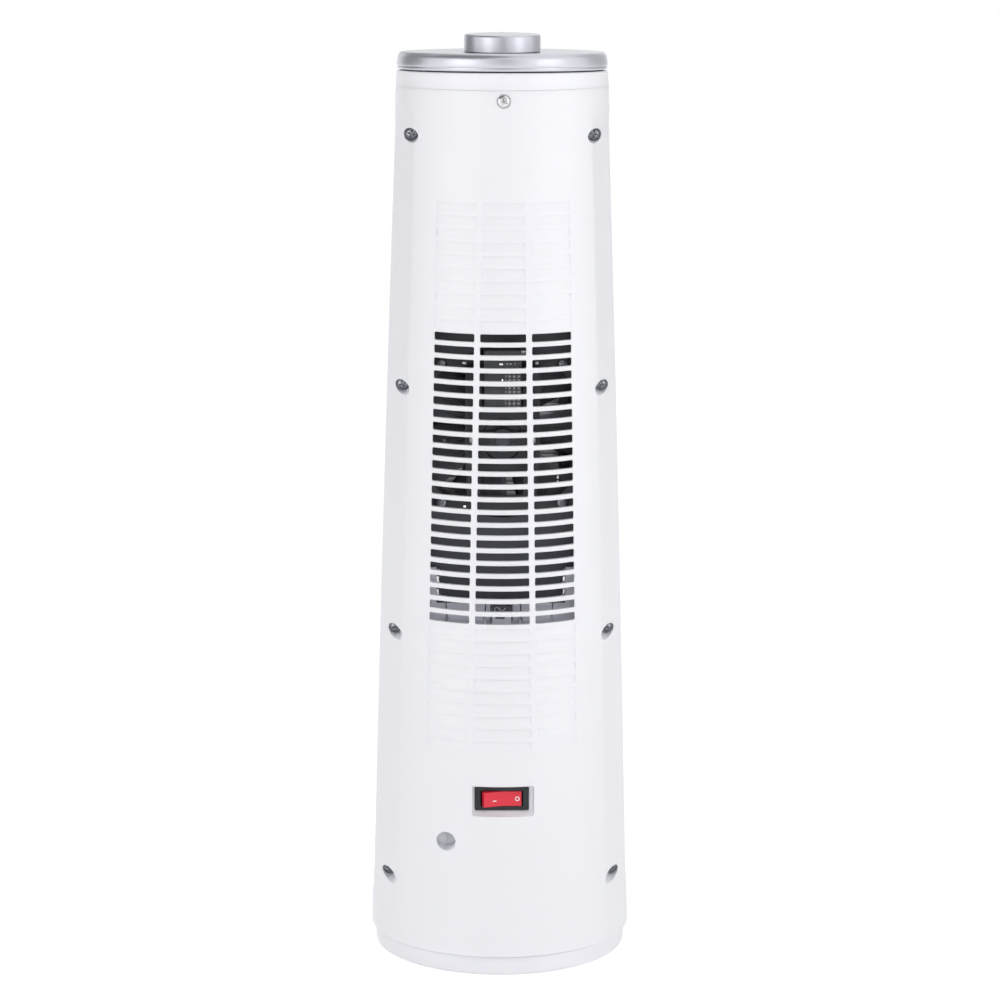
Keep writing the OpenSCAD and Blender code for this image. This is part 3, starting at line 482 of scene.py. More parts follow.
def shaded(colour, amount):
    """A colour made darker or lighter by a share."""
    return tuple(min(1.0, max(0.0, c * (1 + amount))) for c in colour)


def moulded_plastic(name, colour, rough=0.42, grain=0.05, coat=0.0, deep=0.0, shine=0.5):
    """Moulded plastic: a fine spark-eroded grain, and slow changes of tone and gloss."""
    sheet = NodeSheet(name)
    slow = sheet.noise(14.0, detail=3.0)
    fine = sheet.noise(2600.0, roughness=0.6)
    sheet.surface(
        Base_Color=sheet.tint(slow, shaded(colour, -0.012), shaded(colour, 0.012)),
        Roughness=sheet.spread(slow, rough - 0.03, rough + 0.03), Specular_IOR_Level=shine,
        Coat_Weight=coat, Coat_Roughness=0.12,
        Subsurface_Weight=deep, Subsurface_Radius=(1.0, 1.0, 1.0), Subsurface_Scale=3 * MM)
    sheet.bump(fine, grain, 0.12 * MM)
    return sheet.material


def metal(name, colour, rough=0.3, streaks=None):
    """Plated or bare metal with fine scratches along one way."""
    sheet = NodeSheet(name)
    scratch = sheet.noise(900.0, detail=3.0, stretch=streaks)
    cloud = sheet.noise(90.0)
    sheet.surface(
        Base_Color=sheet.tint(cloud, shaded(colour, -0.08), shaded(colour, 0.06)),
        Roughness=sheet.spread(scratch, rough - 0.06, rough + 0.08), Metallic=1.0)
    sheet.bump(scratch, 0.12, 0.05 * MM)
    return sheet.material


def silver_paint(name, colour):
    """Satin silver paint: fine flakes that change tone and gloss under a soft top coat."""
    sheet = NodeSheet(name)
    flakes = sheet.cells(5200.0)
    slow = sheet.noise(30.0)
    sheet.surface(
        Base_Color=sheet.tint(flakes, shaded(colour, -0.05), shaded(colour, 0.05)),
        Roughness=sheet.spread(slow, 0.3, 0.36), Metallic=0.82, Coat_Weight=0.25, Coat_Roughness=0.3)
    sheet.bump(flakes, 0.05, 0.04 * MM)
    return sheet.material


def layered_steel(name, colour):
    """Stacked motor sheets: fine dark lines between the sheets."""
    sheet = NodeSheet(name)
    lines = sheet.bands(0.5 * MM, "Y")
    sheet.surface(
        Base_Color=sheet.tint(lines, shaded(colour, -0.5), shaded(colour, 0.15)), Roughness=0.42,
        Metallic=1.0)
    sheet.bump(lines, 0.4, 0.1 * MM)
    return sheet.material


def rubber(name, colour):
    """Matt rubber with a dusty bloom."""
    sheet = NodeSheet(name)
    bloom = sheet.noise(400.0, detail=4.0)
    sheet.surface(Base_Color=sheet.tint(bloom, colour, shaded(colour, 0.8)), Roughness=0.85)
    sheet.bump(bloom, 0.3, 0.1 * MM)
    return sheet.material


def winding(name, colour):
    """A taped winding, with bare bright turns where the tape ends at one side."""
    bare_x, bare_z, bare_colour = -1.5 * MM, 365.5 * MM, (0.4, 0.4, 0.43)
    sheet = NodeSheet(name)
    turns = sheet.step("MULTIPLY", sheet.bands(2.7 * MM, "X"), sheet.bands(2.3 * MM, "Z"))
    axes = sheet.feed(sheet.node("ShaderNodeSeparateXYZ"), Vector=sheet.coords)
    beside = sheet.step("LESS_THAN", axes.outputs["X"], bare_x)
    below = sheet.step("LESS_THAN", axes.outputs["Z"], bare_z)
    shown = sheet.step("MULTIPLY", turns, sheet.step("MULTIPLY", beside, below))
    sheet.surface(Base_Color=sheet.tint(shown, colour, bare_colour), Roughness=0.4, Coat_Weight=0.3)
    sheet.bump(shown, 0.6, 0.3 * MM)
    return sheet.material


MATERIALS = {}


def make_materials():
    """One material for each slot of the record and for the pieces' own finishes."""
    colours = bpy.context.scene.heater_finish
    recipes = {
        "white_shell": (moulded_plastic, colours.shell, {"rough": 0.4, "grain": 0.045, "deep": 0.4}),
        "silver_paint": (silver_paint, colours.silver, {}),
        "charcoal_plastic": (moulded_plastic, colours.charcoal, {"rough": 0.5, "grain": 0.09}),
        "grey_plastic": (moulded_plastic, colours.grey, {"rough": 0.5, "grain": 0.08}),
        # Painted light: a lighter copy of the charcoal plastic for the fan wheel and heater frame, which lie
        # deep in shade
        "wheel_plastic": (moulded_plastic, (0.17, 0.175, 0.2), {"rough": 0.5}),
        "black_plastic": (moulded_plastic, colours.bezel, {"grain": 0.04, "shine": 0.3}),
        "red_plastic": (moulded_plastic, colours.rocker, {"rough": 0.25, "grain": 0.01, "coat": 0.15}),
        "ivory_plastic": (moulded_plastic, (0.8, 0.79, 0.74), {"rough": 0.45}),
        "brown_plastic": (moulded_plastic, (0.12, 0.05, 0.03), {"rough": 0.3}),
        "natural_acetal": (moulded_plastic, (0.84, 0.83, 0.78), {"rough": 0.35}),
        "black_rubber": (rubber, (0.03, 0.03, 0.03), {}),
        "zinc_steel": (metal, (0.45, 0.46, 0.49), {"rough": 0.32}),
        "nickel_steel": (metal, (0.75, 0.75, 0.76), {"rough": 0.14}),
        "lamination_steel": (layered_steel, (0.14, 0.145, 0.16), {}),
        "bare_aluminium": (metal, (0.42, 0.42, 0.45), {"rough": 0.45, "streaks": (1, 1, 12)}),
        "black_steel": (metal, (0.09, 0.092, 0.1), {"rough": 0.4}),
        "winding_tape": (winding, (0.055, 0.057, 0.064), {}),
        "mark_white": (moulded_plastic, (0.9, 0.9, 0.9), {"rough": 0.5}),
    }
    for name, (recipe, colour, settings) in recipes.items():
        MATERIALS[name] = recipe(name, colour, **settings)


# Settings


class HeaterBody(bpy.types.PropertyGroup):
    """Sizes of the body's form."""

    bulge: FloatProperty(
        name="Bulge", description="How far the side bulges out of a straight taper",
        default=1 * MM, unit="LENGTH")
    wall: FloatProperty(
        name="Wall", description="Thickness of the covers", default=2.4 * MM, unit="LENGTH")
    side_share: FloatProperty(
        name="Side land", description="Distance of the side lands, as a share of the radius", default=0.989)
    flank_share: FloatProperty(
        name="Flank land", description="Distance of the rear flanks, as a share of the radius", default=0.957)
    flank_angle: FloatProperty(
        name="Flank angle", description="Direction of a flank's normal",
        default=math.radians(19), subtype="ANGLE")
    ramp_low_start: FloatProperty(
        name="Lower ramp start", description="Height over the lower edge where a land starts",
        default=14 * MM, unit="LENGTH")
    ramp_low_full: FloatProperty(
        name="Lower ramp end", description="Height over the lower edge where a land is full",
        default=35 * MM, unit="LENGTH")
    ramp_high_full: FloatProperty(
        name="Upper ramp start", description="Height under the collar where a land is still full",
        default=22 * MM, unit="LENGTH")
    ramp_high_end: FloatProperty(
        name="Upper ramp end", description="Height under the collar where a land ends",
        default=10 * MM, unit="LENGTH")
    grid_height: FloatProperty(
        name="Grid height", description="Height of the body's mesh faces", default=12 * MM, unit="LENGTH")
    grid_angle: FloatProperty(
        name="Grid angle", description="Width of the body's mesh faces",
        default=math.radians(2.2), subtype="ANGLE")
    edge: FloatProperty(
        name="Edge round", description="Rounding of the covers' edges", default=0.3 * MM, unit="LENGTH")


class HeaterGrille(bpy.types.PropertyGroup):
    """Sizes of the rear grille."""

    top: FloatProperty(
        name="Top", description="Height of the uppermost open row's top edge",
        default=388.8 * MM, unit="LENGTH")
    pitch: FloatProperty(
        name="Pitch", description="Distance from one row to the next", default=7.61 * MM, unit="LENGTH")
    slot_height: FloatProperty(
        name="Slot height", description="Height of each slot", default=4.9 * MM, unit="LENGTH")
    corner: FloatProperty(
        name="Corner", description="Corner radius of each slot", default=0.8 * MM, unit="LENGTH")
    open_rows: IntProperty(name="Open rows", description="Number of open rows", default=23)
    blind_rows: IntProperty(
        name="Blind rows", description="Number of blind rows above and below", default=10)
    blind_depth: FloatProperty(
        name="Blind depth", description="Depth of the blind rows", default=0.8 * MM, unit="LENGTH")
    rib_width: FloatProperty(
        name="Rib", description="Width of the upright ribs", default=3.4 * MM, unit="LENGTH")
    rib_top: FloatProperty(
        name="Rib at top", description="Distance of a rib from the middle at the uppermost open row",
        default=15.1 * MM, unit="LENGTH")
    rib_bottom: FloatProperty(
        name="Rib at bottom", description="Distance of a rib from the middle at the lowest open row",
        default=17.9 * MM, unit="LENGTH")
    share: FloatProperty(
        name="Width", description="Half width of the grille, as a share of the body's radius", default=0.583)


class HeaterCap(bpy.types.PropertyGroup):
    """Sizes of the cap, the knob and the base's skirt."""

    rim: FloatProperty(
        name="Rim", description="Rounding of the cap's upper edge", default=3.2 * MM, unit="LENGTH")
    dome: FloatProperty(
        name="Dome", description="How much the cap's top is domed", default=0.6 * MM, unit="LENGTH")
    brow: FloatProperty(
        name="Brow", description="How far the top's rear edge stands up", default=1.9 * MM, unit="LENGTH")
    sink: FloatProperty(
        name="Sink", description="How far the top lies down round the knob", default=0.75 * MM, unit="LENGTH")
    fall: FloatProperty(
        name="Fall", description="How much the cap's top falls to the front",
        default=3.4 * MM, unit="LENGTH")
    lean: FloatProperty(
        name="Lean", description="How much the cap's seat falls to the front",
        default=4.0 * MM, unit="LENGTH")
    gap: FloatProperty(
        name="Gap", description="Gap under the cap's skirt", default=0.6 * MM, unit="LENGTH")
    lip: FloatProperty(
        name="Lip", description="Height of the cap's lower lip", default=1.3 * MM, unit="LENGTH")
    groove: FloatProperty(
        name="Groove", description="Depth of the groove over the lip", default=0.9 * MM, unit="LENGTH")
    knob_drop: FloatProperty(
        name="Knob drop", description="How far the knob's face lies under its solid's",
        default=1.5 * MM, unit="LENGTH")
    knob_edge: FloatProperty(
        name="Knob edge", description="Rounding of the knob's upper edge", default=1.3 * MM, unit="LENGTH")
    skirt: FloatProperty(
        name="Skirt", description="Height of the skirt under the base", default=1.0 * MM, unit="LENGTH")


class HeaterFinish(bpy.types.PropertyGroup):
    """Colours of the main finishes."""

    shell: FloatVectorProperty(
        name="Shell", description="White plastic of the covers",
        default=(0.86, 0.863, 0.905), size=3, subtype="COLOR")
    silver: FloatVectorProperty(
        name="Silver", description="Silver paint of cap and knob",
        default=(0.655, 0.67, 0.725), size=3, subtype="COLOR")
    charcoal: FloatVectorProperty(
        name="Charcoal", description="Plastic of the fan housing",
        default=(0.088, 0.091, 0.108), size=3, subtype="COLOR")
    grey: FloatVectorProperty(
        name="Grey", description="Plastic of the deck", default=(0.8, 0.81, 0.88), size=3, subtype="COLOR")
    bezel: FloatVectorProperty(
        name="Bezel", description="Plastic of the switch bezel",
        default=(0.03, 0.032, 0.036), size=3, subtype="COLOR")
    rocker: FloatVectorProperty(
        name="Rocker", description="Plastic of the rocker",
        default=(0.74, 0.02, 0.045), size=3, subtype="COLOR")


class HeaterStage(bpy.types.PropertyGroup):
    """Camera and light."""

    distance: FloatProperty(
        name="Distance", description="Level distance of the camera from the axis",
        default=1.9608, unit="LENGTH")
    height: FloatProperty(name="Height", description="Height of the camera", default=0.6588, unit="LENGTH")
    turn: FloatProperty(
        name="Turn", description="Turn of the camera round the axis, towards +X",
        default=math.radians(0.85), subtype="ANGLE")
    pitch: FloatProperty(
        name="Pitch", description="How far the camera looks down",
        default=math.radians(11.009), subtype="ANGLE")
    yaw: FloatProperty(
        name="Yaw", description="How far the camera looks past the axis, towards +X",
        default=math.radians(0.0166), subtype="ANGLE")
    roll: FloatProperty(
        name="Roll", description="Roll of the camera", default=math.radians(0.176), subtype="ANGLE")
    lens: FloatProperty(name="Lens", description="Focal length in millimetres", default=118.02)
    world: FloatProperty(name="World", description="Strength of the even light", default=0.46)


# Covers


def slot_middle(row):
    """Height of the middle of a grille row. Row 0 is the uppermost open one."""
    grille = bpy.context.scene.heater_grille
    return grille.top - grille.slot_height / 2 - row * grille.pitch


def rib_distance(z):
    """Distance of an upright rib from the middle at a height."""
    grille = bpy.context.scene.heater_grille
    top, bottom = slot_middle(0), slot_middle(grille.open_rows - 1)
    return grille.rib_top + (grille.rib_bottom - grille.rib_top) * (top - z) / (top - bottom)


class Tree(Nodes):
    """The nodes of one geometry tree, with named inputs."""

    def __init__(self, name):
        super().__init__(bpy.data.node_groups.new(name, "GeometryNodeTree"))
        for way in ("OUTPUT", "INPUT"):
            self.tree.interface.new_socket("Geometry", in_out=way, socket_type="NodeSocketGeometry")
        self.source = self.node("NodeGroupInput")
        self.sink = self.node("NodeGroupOutput")
        self.values = {}

    def value(self, name, value, kind="NodeSocketFloat"):
        """Adds a named input with its value."""
        self.tree.interface.new_socket(name, in_out="INPUT", socket_type=kind)
        self.values[name] = value
        return self.source.outputs[name]

    def end(self, geometry, material):
        """Realizes the instances and sets the material."""
        real = self.run_through("GeometryNodeRealizeInstances", geometry)
        paint = self.feed(self.node("GeometryNodeSetMaterial"), Geometry=real, Material=material)
        self.feed(self.sink, Geometry=paint.outputs["Geometry"])

    def run(self, piece):
        """Runs the tree on a piece and keeps the result as a plain mesh."""
        modifier = piece.modifiers.new(self.tree.name, "NODES")
        modifier.node_group = self.tree
        for item in self.tree.interface.items_tree:
            if item.item_type == "SOCKET" and item.in_out == "INPUT" and item.name in self.values:
                modifier[item.identifier] = self.values[item.name]
        bake_modifiers(piece)


def slot_cutters(first_row, rows):
    """Rounded prisms along Y, one for each slot of the given rows."""
    grille = bpy.context.scene.heater_grille
    parts = []
    for row in range(first_row, first_row + rows):
        z = slot_middle(row)
        rib, half = rib_distance(z), grille.rib_width / 2
        outer = grille.share * body_radius(z)
        for low, high in ((-outer, -rib - half), (-rib + half, rib - half), (rib + half, outer)):
            middle = ((low + high) / 2, z)
            parts.append(prism_y(
                high - low, grille.slot_height, grille.corner, OUTSIDE / 2, OUTSIDE, middle, steps=4))
    return joined("slot_cutters", parts)


def slope_blind(cutters, first_row):
    """Makes the blind slots' floors run out towards their lower edges and the grille's sides."""
    grille = bpy.context.scene.heater_grille
    lift, fade, fade_start, fade_width = 0.75, 0.5, 0.75, 0.2
    rows = range(first_row, first_row + grille.blind_rows)
    for vert in cutters.data.vertices:
        x, y, z = vert.co
        row = min(rows, key=lambda k: abs(slot_middle(k) - z))
        share = min(1.0, max(0.0, 0.5 - (z - slot_middle(row)) / grille.slot_height))
        side = abs(x) / (grille.share * body_radius(z))
        share = max(share, fade * min(1.0, max(0.0, (side - fade_start) / fade_width)))
        radial = math.hypot(x, y)
        if radial < body_radius(z) - grille.blind_depth / 2:
            push = 1 + lift * share * grille.blind_depth / radial
            vert.co = (x * push, y * push, z)


# Screws of each node: the way that the head faces, its height, the shank's radius, and the recess
SCREWS = {
    "side_screws": ("Y", 3.0, 1.55, 0.62),
    "top_screw": ("Y", 1.9, 1.55, 0.66),
    "chassis_screws": ("Y", 2.0, 1.35, 0.6),
    "motor_bracket_screws": ("Y", 1.8, 1.55, 0.6),
    "motor_bolts": ("Y", 1.8, 1.45, 0.6),
    "retainer_screws": ("Z", 1.8, 1.55, 0.6),
    "osc_motor_screws": ("Z", 1.8, 1.55, 0.6),
    "bracket_screws": ("Z", 1.5, 1.05, 0.6),
    "plate_screws": ("-Z", 0.9, 1.55, 0.6),
}
SCREW_TURNS = {"Y": (-math.pi / 2, 0.0, 0.0), "Z": (0.0, 0.0, 0.0), "-Z": (math.pi, 0.0, 0.0)}


def screw_seats(node):
    """Middle of each head's seat, the head's radius and the shank's length."""
    facing, head_h = SCREWS[node][:2]
    axis = 1 if facing == "Y" else 2
    seats = []
    for low, high in loose_boxes(node):
        seat = (low + high) / 2
        if facing == "-Z":
            seat[axis] = low[axis] + head_h * MM
            length = high[axis] - seat[axis]
        else:
            seat[axis] = high[axis] - head_h * MM
            length = seat[axis] - low[axis]
        seats.append(seat)
    return seats, (high.x - low.x) / 2, length


def screw_mesh(head_r, head_h, shank_r, length, reach):
    """A pan head screw along Z, with a cross recess and threads, its seat at the origin."""
    crown = ((0, 1), (0.35, 0.985), (0.62, 0.92), (0.84, 0.76), (0.96, 0.5), (1, 0.22), (0.97, 0))
    profile = [(head_r * c, head_h * h) for c, h in crown] + [(shank_r, 0.0)]
    pitch, root, plain, tip = 1.1 * MM, shank_r * 0.8, 0.6 * MM, 0.8 * MM
    for i in range(int((length - 1.5 * MM) / pitch)):
        z = -plain - i * pitch
        profile += [(root, z), (shank_r, z - pitch / 2)]
    profile += [(root, tip - length), (0, -length)]
    screw = object_from_bmesh("screw", lathe(profile, 32))
    arm, half, depth = head_r * reach, head_r * 0.12, min(head_h * 0.62, head_r * 0.55)
    rings = []
    for share, z in ((1.1, head_h * 1.2), (0.95, head_h * 0.9), (0.3, head_h - depth)):
        a, h = arm * share, half * (0.6 + 0.4 * share)
        rings.append([(x, y, z) for x, y in (
            (a, h), (h, h), (h, a), (-h, a), (-h, h), (-a, h),
            (-a, -h), (-h, -h), (-h, -a), (h, -a), (h, -h), (a, -h))])
    combine(screw, object_from_bmesh("recess", loft(rings)), "DIFFERENCE")
    shade(screw, 30)
    return screw


class HEATER_OT_screws(bpy.types.Operator):
    """Sets a screw with a cross recess at each place of the screw nodes"""

    bl_idname = "heater.screws"
    bl_label = "Screws"

    def execute(self, context):
        for seed, (node, (facing, head_h, shank_r, reach)) in enumerate(SCREWS.items(), 3):
            seats, head_r, length = screw_seats(node)
            proto = screw_mesh(head_r, head_h * MM, shank_r * MM, length, reach)
            mesh = bpy.data.meshes.new(node)
            mesh.from_pydata(seats, [], [])
            piece = new_object(node + "_cross", mesh)
            tree = Tree("Screws on points")
            screw = tree.value("Screw", proto, "NodeSocketObject")
            size = tree.value("Size", 1.0)
            most = tree.value("Greatest turn", math.pi / 2)
            start = tree.value("Seed", seed, "NodeSocketInt")
            info = tree.feed(tree.node("GeometryNodeObjectInfo"), Object=screw)
            put = tree.node("GeometryNodeInstanceOnPoints")
            tree.feed(
                put, Points=tree.source.outputs["Geometry"], Instance=info.outputs["Geometry"],
                Rotation=SCREW_TURNS[facing], Scale=size)
            chance = tree.feed(tree.node("FunctionNodeRandomValue", data_type="FLOAT"), Seed=start)
            tree.put(most, chance.inputs[3])
            turn = tree.feed(tree.node("ShaderNodeCombineXYZ"), Z=chance.outputs[1])
            twist = tree.node("GeometryNodeRotateInstances")
            tree.feed(twist, Instances=put.outputs["Instances"], Rotation=turn.outputs["Vector"])
            tree.end(twist.outputs["Instances"], material_of(node))
            tree.run(piece)
            discard(proto)
            shade(piece, 30)
            finish_piece(piece, node)
        return {"FINISHED"}


def recess_sill(pocket_at, pocket_w, pocket_h, pocket_y, top_z):
    """The slope that leads from the recess's floor out to the body's side, under the switch."""
    wall, overlap, end = 1 * MM, 0.4 * MM, 0.5 * MM
    foot_z = pocket_at[1] - pocket_h / 2
    foot_y = math.sqrt(body_radius(foot_z) ** 2 - (pocket_w / 2 + wall) ** 2) - overlap
    section = (
        (pocket_y - wall, foot_z - wall), (foot_y, foot_z - wall), (foot_y, foot_z),
        (pocket_y, top_z), (pocket_y - wall, top_z))
    reach = pocket_w / 2 + end
    sill = loft([[(pocket_at[0] + x, y, z) for y, z in section] for x in (-reach, reach)])
    return object_from_bmesh("sill", sill)


def outlet_bay(x, z):
    """A small box behind the cord outlet, with a slanting plate in its middle."""
    front, back, width, height, wall, edge = 58.5 * MM, 56.5 * MM, 17 * MM, 15 * MM, 1 * MM, 0.3 * MM
    plate_x, plate_length, slant = x - 0.8 * MM, 7 * MM, math.radians(50)
    plate = prism_y(wall, height, edge, 0.0, plate_length)
    turn = Matrix.Translation((plate_x, back, z)) @ Matrix.Rotation(slant, 4, "Z")
    bmesh.ops.transform(plate, matrix=turn, verts=plate.verts)
    return joined("outlet_bay", [
        prism_y(width, height, 0.5 * MM, back - wall, back, (x, z)),
        prism_y(width, wall, edge, back - wall, front, (x, z - height / 2)),
        prism_y(wall, height, edge, back - wall, front - 1.5 * MM, (x + (width - wall) / 2, z)),
        plate])


class HEATER_OT_rear_cover(bpy.types.Operator):
    """Builds the rear cover with its rounded slots, blind rows, screw sinks and openings"""

    bl_idname = "heater.rear_cover"
    bl_label = "Rear cover"

    def execute(self, context):
        sizes = context.scene.heater_body
        grille = context.scene.heater_grille
        cover = body_half("rear_cover_skin", 0.0, 0.0, sizes.wall)
        switch_low, switch_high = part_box("switch_housing")
        switch_z = (switch_low.z + switch_high.z) / 2
        bezel_w, bezel_h = switch_high.x - switch_low.x, switch_high.z - switch_low.z
        pocket_w, pocket_h = bezel_w + 4.5 * MM, bezel_h + 4.1 * MM
        pocket_at, pocket_y = (-0.75 * MM, switch_z - 0.35 * MM), switch_high.y - 1.1 * MM
        outlet = next(m for m in frame["record"]["mounts"] if m["name"] == "cord_outlet")
        outlet_x, outlet_y, outlet_z = outlet["pos_m"]
        outlet_r = outlet["dims"]["r_mm"] * MM
        top_low, top_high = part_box("top_screw")
        top_z = (top_low.z + top_high.z) / 2
        sinks = screw_seats("side_screws")[0]

        # Thickened places round the sinks, the recess and the outlet, kept inside the skin
        boss_r, boss_y0, boss_y1, rim = 6.2 * MM, 8 * MM, 60 * MM, 2.4 * MM
        collar_w, collar_depth = 2.2 * MM, 7.4 * MM
        bosses = [rod_y(boss_r, boss_y0, boss_y1, place.x, place.z) for place in sinks]
        bosses += [
            prism_y(
                pocket_w + 2 * rim, pocket_h + 2 * rim, 2 * MM, pocket_y - rim, OUTSIDE, pocket_at),
            rod_y(outlet_r + collar_w, outlet_y - collar_depth, OUTSIDE, outlet_x, outlet_z)]
        limit = body_half("limit", 0.0, 0.4 * MM, sizes.wall + 30 * MM)
        combine(limit, joined("bosses", bosses), "INTERSECT")
        combine(cover, limit, "UNION")

        sink_r, top_sink_r, head_h = 4.3 * MM, 4.2 * MM, 1.9 * MM
        cuts = [
            prism_y(pocket_w, pocket_h, 1 * MM, pocket_y, OUTSIDE, pocket_at),
            rod_y(outlet_r, 50 * MM, OUTSIDE, outlet_x, outlet_z),
            rod_y(top_sink_r, top_high.y - head_h, OUTSIDE, 0, top_z)]
        cuts += [rod_y(sink_r, place.y, OUTSIDE, place.x, place.z) for place in sinks]
        combine(cover, joined("cuts", cuts), "DIFFERENCE")
        hole_w, hole_h = bezel_w - 2.4 * MM, bezel_h - 2.2 * MM
        hole = prism_y(hole_w, hole_h, 0.5 * MM, pocket_y - 10 * MM, OUTSIDE, (0, switch_z))
        combine(cover, object_from_bmesh("hole", hole), "DIFFERENCE")
        sill = recess_sill(pocket_at, pocket_w, pocket_h, pocket_y, switch_low.z - 0.3 * MM)
        combine(cover, sill, "UNION")
        combine(cover, slot_cutters(0, grille.open_rows), "DIFFERENCE")
        for first in (-grille.blind_rows, grille.open_rows):
            blind = slot_cutters(first, grille.blind_rows)
            combine(blind, body_half("core", 0.0, grille.blind_depth, 40 * MM), "DIFFERENCE")
            slope_blind(blind, first)
            combine(cover, blind, "DIFFERENCE")
        soften(cover, sizes.edge)
        finish_piece(cover, "rear_cover")
        bay = outlet_bay(outlet_x, outlet_z)
        shade(bay)
        finish_piece(bay, "rear_cover", "white_shell")
        return {"FINISHED"}


class HEATER_OT_front_cover(bpy.types.Operator):
    """Builds the front cover with its outlet window and the posts behind it"""

    bl_idname = "heater.front_cover"
    bl_label = "Front cover"

    def execute(self, context):
        sizes = context.scene.heater_body
        cover = body_half("front_cover_skin", math.pi, 0.0, sizes.wall)
        chassis_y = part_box("heater_frame")[0].y
        posts = []
        for node, radius, end_y in (("side_screws", 4.5, 7.9 * MM), ("chassis_screws", 3.6, chassis_y)):
            for place in screw_seats(node)[0]:
                posts.append(rod_y(radius * MM, -80 * MM, end_y, place.x, place.z, 32))
        posts = joined("posts", posts)
        combine(posts, body_half("outside", math.pi, -40 * MM, 40.4 * MM), "DIFFERENCE")
        combine(cover, posts, "UNION")
        low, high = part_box("front_grille")
        overlap = 6 * MM
        window = prism_y(
            high.x - low.x - overlap, high.z - low.z - overlap, 9 * MM, -OUTSIDE, -20 * MM,
            (0, (low.z + high.z) / 2), steps=8)
        combine(cover, object_from_bmesh("window", window), "DIFFERENCE")
        soften(cover, sizes.edge)
        finish_piece(cover, "front_cover")
        return {"FINISHED"}


class HEATER_OT_plain_nodes(bpy.types.Operator):
    """Gives every solid its material"""

    bl_idname = "heater.plain_nodes"
    bl_label = "Materials of the solids"

    def execute(self, context):
        make_materials()
        for node, piece in frame["nodes"].items():
            piece.data.materials.clear()
            piece.data.materials.append(material_of(node))
        return {"FINISHED"}


# Rounding of the edges of each piece that keeps its solid's shape, in millimetres
EDGES = {
    "front_grille": 0.5, "switch_housing": 0.25, "rubber_feet": 0.5, "fan_shroud": 0.5,
    "heater_frame": 0.4, "motor_bracket": 0.25, "rear_bearing": 0.25, "front_bearing": 0.2,
    "motor_core": 0.15, "motor_coil": 1.2, "osc_motor": 0.8, "osc_crank": 0.4, "bottom_plate": 0.3,
    "tilt_switch": 0.5, "terminal_block": 0.4, "control_bracket": 0.3, "rotary_switch": 0.4,
    "switch_nut": 0.25, "thermal_cutout": 0.3, "fan_wheel": 0.3, "glide_ring": 0.3,
    "retainer_ring": 0.2, "switch_rocker": 0.35, "ptc_bars": 0.2, "knob_shaft": 0.3,
}


class HEATER_OT_rounded_parts(bpy.types.Operator):
    """Rounds the edges of the moulded and pressed parts"""

    bl_idname = "heater.rounded_parts"
    bl_label = "Moulded and pressed parts"

    def execute(self, context):
        for node, width in EDGES.items():
            rounded_copy(node, width * MM)
        return {"FINISHED"}


def top_face(radius, height, dome, power, steps=9):
    """Points of a slightly domed round face, from its rim to the axis."""
    shares = [1 - (i / steps) ** 1.6 for i in range(steps)]
    return [(radius * k, height - dome * k ** power) for k in shares[1:]] + [(0.0, height)]


def corner(r, z, radius, start, end, steps=8):
    """Points of a rounded edge between two angles in degrees, its middle at r and z."""
    turns = [math.radians(start + (end - start) * i / steps) for i in range(steps + 1)]
    return [(r + radius * math.cos(a), z + radius * math.sin(a)) for a in turns]


class HEATER_OT_cap(bpy.types.Operator):
    """Turns the silver cap and the collar under it, which both fall a little to the front"""

    bl_idname = "heater.cap"
    bl_label = "Cap and collar"

    def execute(self, context):
        sizes = context.scene.heater_cap
        low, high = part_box("top_cap")
        r, z0, z1 = high.x, low.z + sizes.gap, high.z
        lip_z, hole, wall, skirt_w = z0 + sizes.lip, 6 * MM, 3 * MM, 5 * MM
        flat, swell = 0.4, 0.45  # shares of the radius: the level middle, and the rise round it
        rim, seat_r = sizes.rim, r - 0.25 * MM
        top_r, top_z = r - 0.5 * MM - rim, z1 - sizes.dome - rim
        face = [(x, z) for x, z in top_face(top_r, z1, sizes.dome, 4) if x > hole + wall]
        profile = [
            (hole, z1 - wall), (r - skirt_w, z1 - wall - 0.9 * MM), (r - skirt_w, z0), (r - 2.4 * MM, z0),
            (r - 0.6 * MM, z0 + 0.3 * MM), (seat_r, z0 + 0.7 * MM), (r - 0.3 * MM, lip_z),
            (r - sizes.groove, lip_z + 0.1 * MM), (r - sizes.groove, lip_z + 0.55 * MM),
            (seat_r, lip_z + 0.7 * MM), (r, lip_z + 1.1 * MM)]
        profile += corner(top_r, top_z, rim, 4, 88) + face + [(hole, z1), (hole, z1 - wall)]
        bm = lathe(profile, 128)
        bmesh.ops.remove_doubles(bm, verts=bm.verts, dist=1e-6)
        for vert in bm.verts:
            share = (vert.co.z - z0) / (z1 - z0)
            outer = min(1.0, max(0.0, (math.hypot(vert.co.x, vert.co.y) / r - flat) / swell))
            way = (1 - vert.co.y / r) / 2
            rise = outer * (sizes.brow - sizes.fall * way) - (1 - outer) * sizes.sink
            vert.co.z += share * rise - (1 - share) * sizes.lean * way
        cap = object_from_bmesh("top_cap_skin", bm)
        shade(cap, 40)
        finish_piece(cap, "top_cap")
        low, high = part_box("collar_ring")
        foot = 0.4  # share of the collar's height that stays level
        bm = merged("collar_ring")
        for vert in bm.verts:
            share = (vert.co.z - low.z) / (high.z - low.z)
            if share > foot:
                vert.co.z -= share * sizes.lean * (1 - vert.co.y / r) / 2
        collar = object_from_bmesh("collar_ring_skin", bm)
        soften(collar, 0.2 * MM)
        finish_piece(collar, "collar_ring")
        return {"FINISHED"}


